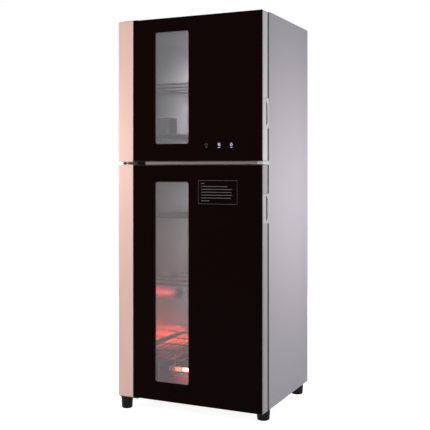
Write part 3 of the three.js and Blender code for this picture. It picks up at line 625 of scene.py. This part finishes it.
def round_corners(points, radius, closed=False):
    """A wire's line with each corner bent round."""
    points = [Vector(point) for point in points]
    count = len(points)
    line = []
    for i, here in enumerate(points):
        if not closed and i in (0, count - 1):
            line.append(here)
            continue
        start = here + (points[i - 1] - here).normalized() * radius
        end = here + (points[(i + 1) % count] - here).normalized() * radius
        for step in range(corner_steps + 1):
            t = step / corner_steps
            line.append(start * (1 - t) ** 2 + here * 2 * t * (1 - t) + end * t**2)
    return line


def wires(name, lines, finishes, node=None, body=None):
    """Round wires in one curve; each line is (points, radius, closed); thin ones take the last finish."""
    curve = bpy.data.curves.new(name, "CURVE")
    curve.dimensions = "3D"
    curve.bevel_depth = MM
    curve.bevel_resolution = wire_facets
    curve.use_fill_caps = True
    for points, radius, closed in lines:
        spline = curve.splines.new("POLY")
        spline.points.add(len(points) - 1)
        for target, point in zip(spline.points, points):
            target.co = (*place(*point), 1)
            target.radius = radius
        spline.use_cyclic_u = closed
        spline.use_smooth = True
        spline.material_index = len(finishes) - 1 if radius < thick_wire else 0
    return dress(bpy.data.objects.new(name, curve), finishes, node, body)


print("wires from", thick_wire, "mm in radius count as thick")

# %% [markdown]
# The screws are pan heads with a cross recess. A recess could be cut, but at this size it only shows as a
# dark cross, so two dark bars lie a hair proud of each turned head.

# %% Screws
head_profile = ((0, 0), (1, 0), (1, 0.35), (0.8, 0.8), (0.45, 1), (0, 1))
cross_length, cross_width = 0.5, 0.12
cross_proud = 0.04


def screws(name, places, axis, side, body, radius=3, height=1.4):
    """Heads at some places; side is +1 or -1 along the axis, the way they look."""
    bm = bmesh.new()
    for point in places:
        head = [(share * radius, side * rise * height) for share, rise in head_profile]
        turned(bm, head, point, axis, sides=24)
        along, across = cross_length * radius, cross_width * radius
        top = side * (height + cross_proud)
        for reach_u, reach_v in ((along, across), (across, along)):
            low = Vector(point) + Vector(spatial(axis, -reach_u, -reach_v, top / 2))
            high = Vector(point) + Vector(spatial(axis, reach_u, reach_v, top))
            for face in block(bm, low, high):
                face.material_index = 1
    return make(name, bm, [screw_steel, dark_plastic], body=body, edge=0)


print("a head is drawn from", len(head_profile), "points")

# %% [markdown]
# Each door is edged on its hinge side by a strip of rose-gold aluminium. It is one folded sheet: a front
# face, a rounded outer edge, a flange at the back, and a ledge that steps back behind the glass. A solid
# bar would look the same from the front, but drawn as a folded section, the strip keeps the light line of
# its bend and is hollow where the end of the door shows it.

# %% Rose-gold strips
doors = ("upper_door", "lower_door")
profile_sheet = 1.5
glass_thickness = 4
strip_face = 47
joint = 0.3
back_flange = 18
right_edge = measure("lower_door_side_profile")[1].x
door_back = measure("lower_door_side_profile")[1].y
half_sheet = profile_sheet / 2
ledge_depth = glass_thickness + joint + half_sheet
ledge_end = measure("lower_door_trim_strip")[1].x

strip_route = [
    (ledge_end, ledge_depth),
    (strip_face - half_sheet, ledge_depth),
    (strip_face - half_sheet, half_sheet),
    (half_sheet, half_sheet),
    (half_sheet, door_back - half_sheet),
    (back_flange, door_back - half_sheet),
]
strip_bends = [1.0, 1.0, 3.25, 1.5]  # at the ledge's two corners, the outer edge and the flange
for door in doors:
    low, high = measure(f"{door}_trim_strip")
    bm = bmesh.new()
    prism(bm, folded(strip_route, profile_sheet, strip_bends), "z", low.z, high.z)
    make(f"{door}_rose_strip", bm, [rose_gold], f"{door}_trim_strip", edge=0.25)
print("strips", round(ledge_end, 1), "mm to the ledge's end")

# %% [markdown]
# The glass is one pane per door. A window could be a second piece set in a hole, but the painted part and
# the clear window are the same sheet, so they are one mesh: the outline and the window are filled on one
# plane and drawn back through the thickness. The opening behind is wider than the window, so the chamber
# shows right up to the paint. The outer edges are ground, a thin grey line round the black.

# %% Glass panes with their windows
glass_setback = 0.15
ground_width = 0.7
window_radius = 6
opening_side = 25
opening_end = 7
window_finish, ground_finish = 1, 2


def ring_of_edges(bm, outline, depth):
    """An outline as a closed ring of edges, upright at that depth."""
    verts = [bm.verts.new((u, depth, v)) for u, v in outline]
    edges = [bm.edges.new((a, b)) for a, b in zip(verts, verts[1:] + verts[:1])]
    return verts, edges


for door in doors:
    low, high = measure(f"{door}_glass")
    pane_low, pane_high = measure(f"{door}_inner_glass")
    window = rectangle(
        pane_low.x - joint + opening_side,
        pane_high.x + joint - opening_side,
        pane_low.z - joint + opening_end,
        pane_high.z + joint - opening_end,
        window_radius,
    )
    bm = bmesh.new()
    front = low.y + glass_setback
    outer_verts, outer_edges = ring_of_edges(bm, rectangle(low.x, high.x, low.z, high.z), front)
    window_verts, window_edges = ring_of_edges(bm, window, front)
    painted = bmesh.ops.triangle_fill(bm, use_beauty=True, edges=outer_edges + window_edges)
    clear = bm.faces.new(window_verts)
    clear.material_index = window_finish
    fronts = [item for item in painted["geom"] if isinstance(item, bmesh.types.BMFace)] + [clear]
    drawn = bmesh.ops.extrude_face_region(bm, geom=fronts, use_keep_orig=True)
    backs = [item for item in drawn["geom"] if isinstance(item, bmesh.types.BMVert)]
    bmesh.ops.translate(bm, verts=backs, vec=(0, high.y - front, 0))
    for face in bm.faces:
        depths = [vert.co.y for vert in face.verts]
        if max(depths) - min(depths) > glass_thickness / 2:
            face.material_index = ground_finish
    bmesh.ops.recalc_face_normals(bm, faces=bm.faces)
    bmesh.ops.bevel(
        bm,
        geom=[edge for edge in bm.edges if edge.verts[0] in outer_verts and edge.verts[1] in outer_verts],
        offset=ground_width,
        segments=1,
        profile=0.5,
        affect="EDGES",
        material=ground_finish,
    )
    pane = make(f"{door}_pane", bm, [black_glass, window_glass, ground_edge], f"{door}_glass", edge=0)
    pane.data.polygons.foreach_set("use_smooth", [False] * len(pane.data.polygons))
print("windows", round(pane_high.x - pane_low.x - 2 * opening_side), "mm wide")

# %% [markdown]
# The opening side of each door is a drawn aluminium profile with a scoop for the fingers let into it. The
# profile and the scoop keep the construction's shape with softened edges, since the notch, the sloping
# ends and the pocket are already right. The caps, the inner sheet with its window tunnel and the inner
# pane follow the same way.

# %% Side profiles, grips, caps and inner panels
for door in doors:
    refine(f"{door}_side_profile", silvers[door], 0.35)
    refine(f"{door}_grip", silvers["upper_door" if door == "upper_door" else "lower_grip"], 0.7)
    refine(f"{door}_top_cap", dark_plastic, 0.4)
    refine(f"{door}_bottom_cap", dark_plastic, 0.4)
    refine(f"{door}_inner_panel", chamber_steel, 0.2)
    refine(f"{door}_inner_glass", clear_glass, 0.4)

# %% [markdown]
# The seal is an extruded rubber frame: a flat foot on the door and a soft bulb with a thin neck that meets
# the front frame. It could be a curve with a round bevel, but that has no flat foot. Its corners are
# mitred and welded, so the section can simply be carried round a rectangle, one loop of four corners for
# each point of the section.

# %% Gaskets
seal_width = 10
bulb_share = 0.82
neck_share = 0.45
foot_share = 0.16
bulb_steps = 16


def seal_section(width, depth):
    """Points (inset, depth) of a foot, a neck and a bulb."""
    bulb = width * bulb_share / 2
    neck = width * neck_share / 2
    foot_depth = depth * foot_share
    start = math.degrees(math.asin(neck / bulb))
    bulb_middle = depth - bulb
    around = arc(width / 2, bulb_middle, bulb, -90 + start, 270 - start, bulb_steps)
    foot = [(0, 0), (width, 0), (width, foot_depth), (width / 2 + neck, foot_depth)]
    return foot + around + [(width / 2 - neck, foot_depth), (0, foot_depth)]


for door in doors:
    low, high = measure(f"{door}_gasket")
    bm = bmesh.new()
    loops = []
    for inset, depth in seal_section(seal_width, high.y - low.y):
        corners = rectangle(low.x + inset, high.x - inset, low.z + inset, high.z - inset)
        loops.append([bm.verts.new((u, low.y + depth, v)) for u, v in corners])
    for one, other in zip(loops, loops[1:] + loops[:1]):
        for i in range(len(one)):
            j = (i + 1) % len(one)
            bm.faces.new((one[i], one[j], other[j], other[i]))
    make(f"{door}_seal", bm, [seal_rubber], f"{door}_gasket", edge=0.25)
print("seal", seal_width, "mm wide")

# %% [markdown]
# Three touch keys shine through the upper glass. Each is a small sign with a short bar under it: a ring
# with a stroke, three warm waves, and a drop. The first is dim because it rests. A picture laid on the
# glass would blur close up, so each sign is drawn with flat strokes: thin solids just proud of the pane.

# %% Flat strokes
print_front = 0.03
print_back = 0.12


def stroke(bm, points, line, closed=False):
    """A flat line of that width through points of the glass plane."""
    points = [Vector(point) for point in points]
    count = len(points)
    sides = []
    for i, here in enumerate(points):
        before = points[i - 1] if closed or i else here
        after = points[(i + 1) % count] if closed or i < count - 1 else here
        along = (after - before).normalized()
        across = Vector((-along.y, along.x)) * line / 2
        sides.append((here + across, here - across))
    for i in range(count if closed else count - 1):
        (a, b), (c, d) = sides[i], sides[(i + 1) % count]
        prism(bm, [tuple(p) for p in (a, b, d, c)], "y", print_front, print_back)


print("strokes", round(print_back - print_front, 2), "mm thick")

# %% [markdown]
# Each sign is drawn once in a unit of its own, with its middle at the origin, and then set at its key's
# place and size. Drawing in a unit keeps the three signs alike when the size of the keys changes.

# %% Touch keys
key_height = 683.5
key_places = (268, 304.7, 339.5)
key_size = 7.5
key_line = 0.9
sign_rise = 0.25
bar_drop, bar_reach = 0.75, 0.4
wave_shifts = (-0.34, 0, 0.34)
wave_swing, wave_foot, wave_steps = 0.08, 0.45, 12
ring_radius, ring_from, ring_to, ring_steps = 0.5, 130, 410, 20
stroke_foot, stroke_tip = 0.1, 0.6
drop_radius, drop_from, drop_to, drop_steps = 0.36, 150, 390, 18
drop_sink, drop_tip = 0.12, 0.6


def wave(shift):
    """A line that rises through one swing to the right and one to the left."""
    rises = [i / wave_steps for i in range(wave_steps + 1)]
    return [(shift + wave_swing * math.sin(t * 2 * math.pi), t - wave_foot) for t in rises]


ring = arc(0, 0, ring_radius, ring_from, ring_to, ring_steps)
power_sign = [(ring, False), ([(0, stroke_foot), (0, stroke_tip)], False)]
warm_sign = [(wave(shift), False) for shift in wave_shifts]
drop = arc(0, -drop_sink, drop_radius, drop_from, drop_to, drop_steps) + [(0, drop_tip)]
drop_sign = [(drop, True)]
for number, (sign, key_place) in enumerate(zip((power_sign, warm_sign, drop_sign), key_places), start=1):
    bm = bmesh.new()
    sign_height = key_height + key_size * sign_rise
    for points, closed in sign:
        line = [(key_place + key_size * u, sign_height + key_size * v) for u, v in points]
        stroke(bm, line, key_line, closed)
    bar_ends = (key_place - key_size * bar_reach, key_place + key_size * bar_reach)
    stroke(bm, [(u, key_height - key_size * bar_drop) for u in bar_ends], key_line)
    material = dim_key if number == 1 else lit_key
    make(f"touch_key_{number}", bm, [material], body="upper_door", edge=0)
refine("touch_control_board", board_green, 0.3)
print("keys at", key_places)

# %% [markdown]
# The lower glass carries a plain printed frame round blank rules of unequal length. A thin plate with a
# picture on it could stand for it, but printed ink has no thickness to speak of and a crisp edge, and the
# same flat strokes as for the keys give both.

# %% Printed frame with blank rules
label_left, label_right = 245, 355.5
label_bottom, label_top = 531, 592
label_line = 0.7
rule_line = 1.3
rule_shares = (0.1, 0.8, 0.94, 0.92, 0.94, 0.9, 0.26)
label_margin = 8
bm = bmesh.new()
stroke(bm, rectangle(label_left, label_right, label_bottom, label_top), label_line, closed=True)
rule_gap = (label_top - label_bottom - 2 * label_margin) / (len(rule_shares) - 1)
for row, share in enumerate(rule_shares):
    height = label_top - label_margin - row * rule_gap
    start = label_left + label_margin
    end = start + share * (label_right - label_left - 2 * label_margin)
    stroke(bm, [(start, height), (end, height)], rule_line)
make("label_frame", bm, [print_grey], body="lower_door", edge=0)
print(len(rule_shares), "rules")

# %% [markdown]
# The side panels are steel sheet with a rounded bend and a flange at the front and at the back. A plain
# plate would do from afar, but the bend is what shows as a light line beside the dark gap. So it is drawn
# as a folded section with its true radius. The left panel is the right one's mirror image.

# %% Side panels
casing_sheet = 1
casing_bend = 3.5
casing_flange = 12
side_low, side_high = measure("right_side_panel")
half_casing = casing_sheet / 2
panel_route = [
    (side_high.x - casing_flange, side_low.y + half_casing),
    (side_high.x - half_casing, side_low.y + half_casing),
    (side_high.x - half_casing, side_high.y - half_casing),
    (side_high.x - casing_flange, side_high.y - half_casing),
]
for side in ("right", "left"):
    route = panel_route if side == "right" else [(right_edge - x, y) for x, y in panel_route]
    bm = bmesh.new()
    prism(bm, folded(route, casing_sheet, [casing_bend, casing_bend]), "z", side_low.z, side_high.z)
    make(f"{side}_side_sheet", bm, [casing_paint], f"{side}_side_panel", edge=0.2)
print("panel", round(side_high.z - side_low.z), "mm high")

# %% [markdown]
# A dark strip in the seals' rubber finish stands on each side panel's front edge: painted shade, a dark
# sheet put where the gap beside the doors lies in shadow. It is a rounded section drawn upwards. On the
# right it is left out beside the grips, where fingers reach in.

# %% Painted shade in the gaps beside the doors
shade_strip_inset = 12
shade_strip_front = 43
shade_strip_end = 1.5
shade_strip_gap = 0.4
shade_strip_clearance = 0.05
shade_strip_round = 0.8
shade_strip_left, shade_strip_right = right_edge - shade_strip_inset, right_edge - shade_strip_gap
shade_strip_section = rectangle(shade_strip_left, shade_strip_right, shade_strip_front, side_low.y - shade_strip_clearance, shade_strip_round)
mirrored_shade_strip = [(right_edge - x, y) for x, y in shade_strip_section]
shade_strip_spans = {}
for door in doors:
    door_low, door_high = measure(f"{door}_side_profile")
    grip_low, grip_high = measure(f"{door}_grip")
    shade_strip_spans[f"left_{door}"] = [(door_low.z, door_high.z)]
    shade_strip_spans[f"right_{door}"] = [(door_low.z, grip_low.z), (grip_high.z, door_high.z)]
for name, spans in shade_strip_spans.items():
    section = mirrored_shade_strip if name.startswith("left") else shade_strip_section
    bm = bmesh.new()
    for bottom, top in spans:
        prism(bm, section, "z", bottom + shade_strip_end, top - shade_strip_end)
    # The seals' rubber finish here is painted shade for the shadowed gap beside the doors.
    make(f"{name}_gap_shade", bm, [seal_rubber], body="cabinet", edge=0)
print(len(shade_strip_spans), "gap_shades")

# %% [markdown]
# The top and the base lie over and under the side panels, and the back is set in behind them with its
# louvres. The stainless front frame and the wool round the chambers come inside. Their solids have the
# right shape already, so they only get softened edges and their finish.

# %% Top, base, back, frame and wool
refine("top_panel", casing_paint, 0.4)
refine("base_panel", casing_paint, 0.4)
refine("back_panel", casing_paint, 0.25)
refine("front_frame", stainless, 0.25)
refine("insulation_wrap", wool, 0.3)

# %% [markdown]
# The hinges are dark painted steel: a leaf that reaches into the gap between the doors, a wall screwed to
# the casing, and a riveted pin. Their solids have all that, and get softened edges. At the middle hinge
# each strip ends in a thin moulded cap of its own colour, so only a narrow slot is left for the leaf. The
# caps could close the strip's whole section, but they keep clear of its rounded edge, where they would show.

# %% Hinge brackets, strip ends and screws
for hinge in ("top_hinge_bracket", "middle_hinge_bracket", "bottom_hinge_plate"):
    refine(hinge, hinge_steel, 0.4)

end_thickness = 1.6
end_left = 10
end_depth = 12
end_round = 1
gap_bottom = measure("lower_door_trim_strip")[1].z
gap_top = measure("upper_door_trim_strip")[0].z
bracket_back = measure("middle_hinge_bracket")[1]
for door, end_low, end_high in (
    ("lower_door", gap_bottom, gap_bottom + end_thickness),
    ("upper_door", gap_top - end_thickness, gap_top),
):
    bm = bmesh.new()
    prism(bm, rectangle(end_left, strip_face, 0, end_depth, end_round), "z", end_low, end_high)
    make(f"{door}_strip_end", bm, [rose_gold], body=door, edge=0.3)

screw_columns = (24, 46)
screw_spread = 9
hinge_wall = 2.5
middle_height = (gap_bottom + gap_top) / 2
screw_heights = (middle_height - screw_spread, middle_height + screw_spread)
screw_places = [(x, bracket_back.y - hinge_wall, z) for x in screw_columns for z in screw_heights]
screws("middle_hinge_screws", screw_places, "y", -1, "cabinet", height=1.6)
print("gap", round(gap_top - gap_bottom, 1), "mm")

# %% [markdown]
# A slim bar closes the gap between the doors, from near the hinge to the right edge. It stands on the
# front frame and stops just short of both doors, so each can swing past it. Its right end carries a
# lighter metal cap in line with the side profiles. Both could be plain boxes, but a section with rounded
# corners catches a line of light between the dark panes.

# %% Bar between the doors
bar_clearance = 0.9
bar_front = 6
bar_round = 1.2
bar_cap_length = 15.5
bar_end_gap = 0.5
hinge_room = 25
bar_left = bracket_back.x + hinge_room
bar_right = right_edge - bar_end_gap
bar_back = measure("front_frame")[0].y - joint
bar_section = rectangle(bar_front, bar_back, gap_bottom + bar_clearance, gap_top - bar_clearance, bar_round)
for name, start, end, silver in (
    ("gap_bar", bar_left, bar_right - bar_cap_length, silvers["gap_bar"]),
    ("gap_bar_cap", bar_right - bar_cap_length, bar_right, silvers["upper_door"]),
):
    bm = bmesh.new()
    prism(bm, bar_section, "x", start, end)
    make(name, bm, [silver], body="cabinet", edge=0.3)
print("bar", round(bar_right - bar_left), "mm long")

# %% [markdown]
# The chambers are stainless boxes, folded and welded, with bent ledges on their sides and a drip tray at
# the bottom of the upper one. They could be folded anew from outlines, as the side panels are, but little
# of them shows through the windows, and their solids have the folds. So they are softened and finished.

# %% Liners, rack plates and tray
for chamber in ("upper", "lower"):
    refine(f"{chamber}_liner", chamber_steel, 0.25)
    for side in ("left", "right"):
        refine(f"{chamber}_{side}_rack_plate", chamber_steel, 0.25)
refine("drip_tray", stainless, 0.3)

# %% [markdown]
# A rack is welded wire: a thick frame bent from one length, thin wires along it and two cross wires below.
# A flat sheet with slots would show no round light on the wires, so each is a round wire of its own.

# %% Racks
frame_wire = 2.6
shelf_wire = 1.0
cross_wire = 2
cross_wire_shares = (1 / 3, 2 / 3)
weld_depth = 1
frame_bend = 12
shelf_wire_count = 15
racks = [name for name in frame["nodes"] if "_rack_" in name and "plate" not in name]
for rack in sorted(racks):
    low, high = measure(rack)
    left, right = low.x + frame_wire, high.x - frame_wire
    near, far = low.y + frame_wire, high.y - frame_wire
    height = high.z - frame_wire
    corners = [(left, near, height), (right, near, height), (right, far, height), (left, far, height)]
    lines = [(round_corners(corners, frame_bend, closed=True), frame_wire, True)]
    wire_height = high.z - shelf_wire
    for i in range(shelf_wire_count):
        x = left + (i + 1) * (right - left) / (shelf_wire_count + 1)
        lines.append(([(x, near, wire_height), (x, far, wire_height)], shelf_wire, False))
    cross_height = wire_height - shelf_wire - cross_wire + weld_depth
    for share in cross_wire_shares:
        y = near + (far - near) * share
        lines.append(([(left, y, cross_height), (right, y, cross_height)], cross_wire, False))
    wires(f"{rack}_wires", lines, [frame_chrome, shelf_chrome], rack)
print(len(racks), "racks of", shelf_wire_count, "wires")

# %% [markdown]
# Two quartz tubes heat the lower chamber. A lit tube is brightest in the middle of its coil and cooler
# towards its ends, so the tube is turned with a few rings along it and each stretch gets its own glow. The
# underside carries a reflecting coat that throws the heat up onto the racks, and it glows only dimly. The
# caps are turned ceramic sleeves. The lower tube runs hottest, and the one at the back glows a deeper red.

# %% Heater tubes and holders
tube_radius = 6
cap_radius = 8
cap_length = 18
cap_groove = 0.8
dim_share, warm_share = 0.06, 0.14
warm_glow, dim_glow = 1, 2
coat_height = 0.3
for tube, glows in (
    ("bottom_heater_tube", [hot_quartz, warm_quartz, dim_quartz]),
    ("rear_heater_tube", [rear_quartz, rear_quartz, dim_quartz]),
):
    low, high = measure(tube)
    axis_y, axis_z = (low.y + high.y) / 2, (low.z + high.z) / 2
    bm = bmesh.new()
    start, end = low.x + cap_length / 2, high.x - cap_length / 2
    stretch_ends = [start + share * (end - start) for share in (0, dim_share, warm_share)]
    stretch_ends += [start + end - x for x in reversed(stretch_ends)]
    coil = [(0, start), *[(tube_radius, x) for x in stretch_ends], (0, end)]
    turned(bm, coil, (0, axis_y, axis_z), "x")
    for face in bm.faces:
        centre = face.calc_center_median()
        share = (centre.x - start) / (end - start)
        from_end = min(share, 1 - share)
        coated = centre.z < axis_z - coat_height * tube_radius
        if coated or from_end < dim_share:
            face.material_index = dim_glow
        elif from_end < warm_share:
            face.material_index = warm_glow
    lit_faces = set(bm.faces)
    for cap_start, cap_end in ((low.x, low.x + cap_length), (high.x - cap_length, high.x)):
        third = (cap_end - cap_start) / 3
        sleeve = [(0, cap_start), (cap_radius - cap_groove, cap_start), (cap_radius, cap_start + cap_groove)]
        sleeve += [(cap_radius, cap_start + third), (cap_radius - cap_groove, cap_start + third)]
        sleeve += [(cap_radius - cap_groove, cap_end - third), (cap_radius, cap_end - third)]
        sleeve += [(cap_radius, cap_end - cap_groove), (cap_radius - cap_groove, cap_end), (0, cap_end)]
        turned(bm, sleeve, (0, axis_y, axis_z), "x")
    for face in bm.faces:
        if face not in lit_faces:
            face.material_index = len(glows)
    make(f"{tube}_lit", bm, [*glows, ceramic], tube, edge=0.2)
    refine(tube.replace("_tube", "_holder"), stainless, 0.3)
print("tubes", 2 * tube_radius, "mm across")

# %% [markdown]
# A low guard of welded wire keeps dishes and fingers off the lower tube: two rails bent down at both ends,
# and straight wires across them. A plate with slots would look stamped, so it is drawn as the racks are.

# %% Heater guard
low, high = measure("heater_guard")
guard_wire = 2
guard_hoops = 9
guard_bend = 6
guard_left, guard_right = low.x + guard_wire, high.x - guard_wire
guard_front, guard_back = low.y + guard_wire, high.y - guard_wire
guard_top = high.z - guard_wire
lines = []
for y in (guard_front, guard_back):
    rail = [(guard_left, y, low.z), (guard_left, y, guard_top)]
    rail += [(guard_right, y, guard_top), (guard_right, y, low.z)]
    lines.append((round_corners(rail, guard_bend), guard_wire, False))
for i in range(guard_hoops):
    x = guard_left + i * (guard_right - guard_left) / (guard_hoops - 1)
    lines.append(([(x, guard_front, guard_top), (x, guard_back, guard_top)], guard_wire, False))
wires("heater_guard_wires", lines, [guard_steel], "heater_guard")
print("guard", guard_hoops, "hoops")

# %% [markdown]
# The ozone generator hangs on the upper chamber's left wall. The power board's box and the thermostat
# stand on the lower chamber's roof, the door switches sit behind the front frame, and the cord gland is in
# the back panel. They could be drawn again with ribs and vents, but they hardly show. So they keep their
# solids' shape, with edges as round as a mould leaves them.

# %% Ozone generator and electrics
refine("ozone_generator", grey_plastic, 0.8)
refine("power_board_box", grey_plastic, 1.5)
refine("thermostat", dark_plastic, 0.3)
for switch in ("upper_door_switch", "lower_door_switch"):
    refine(switch, dark_plastic, 0.8)
refine("cord_gland", dark_plastic, 0.3)

# %% [markdown]
# The back panel is held by a row of screws down each side, at an even pitch inside its rim. Each could be
# a piece of its own, but they never move apart, so one mesh holds them all.

# %% Back panel screws
back_low, back_high = measure("back_panel")
rim = 21
screw_rows = 6
back_face = back_low.y + casing_sheet
screw_pitch = (back_high.z - back_low.z - 2 * rim) / (screw_rows - 1)
back_heights = [back_low.z + rim + row * screw_pitch for row in range(screw_rows)]
back_places = [(x, back_face, z) for x in (back_low.x + rim, back_high.x - rim) for z in back_heights]
screws("back_panel_screws", back_places, "y", 1, "cabinet")
print(len(back_places), "back panel screws")

# %% [markdown]
# The feet are moulded black rubber, nearly straight cups with a rounded lower edge and a shallow tread. A
# cylinder with a bevel has no taper and no tread, so each foot is a turned profile, with a quarter round
# at the bottom.

# %% Feet
foot_round = 3.0
foot_taper = 1.5
collar_height, collar_round = 1.5, 0.5
tread_depth = 1.0
tread_hollow, tread_rim = 0.45, 0.5
for foot in ("front_left_foot", "front_right_foot", "rear_left_foot", "rear_right_foot"):
    low, high = measure(foot)
    middle_x, middle_y = (low.x + high.x) / 2, (low.y + high.y) / 2
    top_radius = (high.x - low.x) / 2
    bottom_radius = top_radius - foot_taper
    profile = [(0, low.z + tread_depth), (tread_hollow * bottom_radius, low.z + tread_depth)]
    profile += [(tread_rim * bottom_radius, low.z)]
    profile += arc(bottom_radius - foot_round, low.z + foot_round, foot_round, -90, 0)
    profile += [(top_radius, high.z - collar_height)]
    profile += [(top_radius - collar_round, high.z), (0, high.z)]
    bm = bmesh.new()
    turned(bm, profile, (middle_x, middle_y, 0), "z")
    make(f"{foot}_rubber", bm, [foot_rubber], foot, edge=0)
print("feet", round(high.z - low.z, 1), "mm high")

# %% [markdown]
# Last comes one test: which bare solids still show, which should be none.

# %% Bare solids left over
left_over = [name for name, node in frame["nodes"].items() if not node.hide_render]
print("bare nodes", left_over)
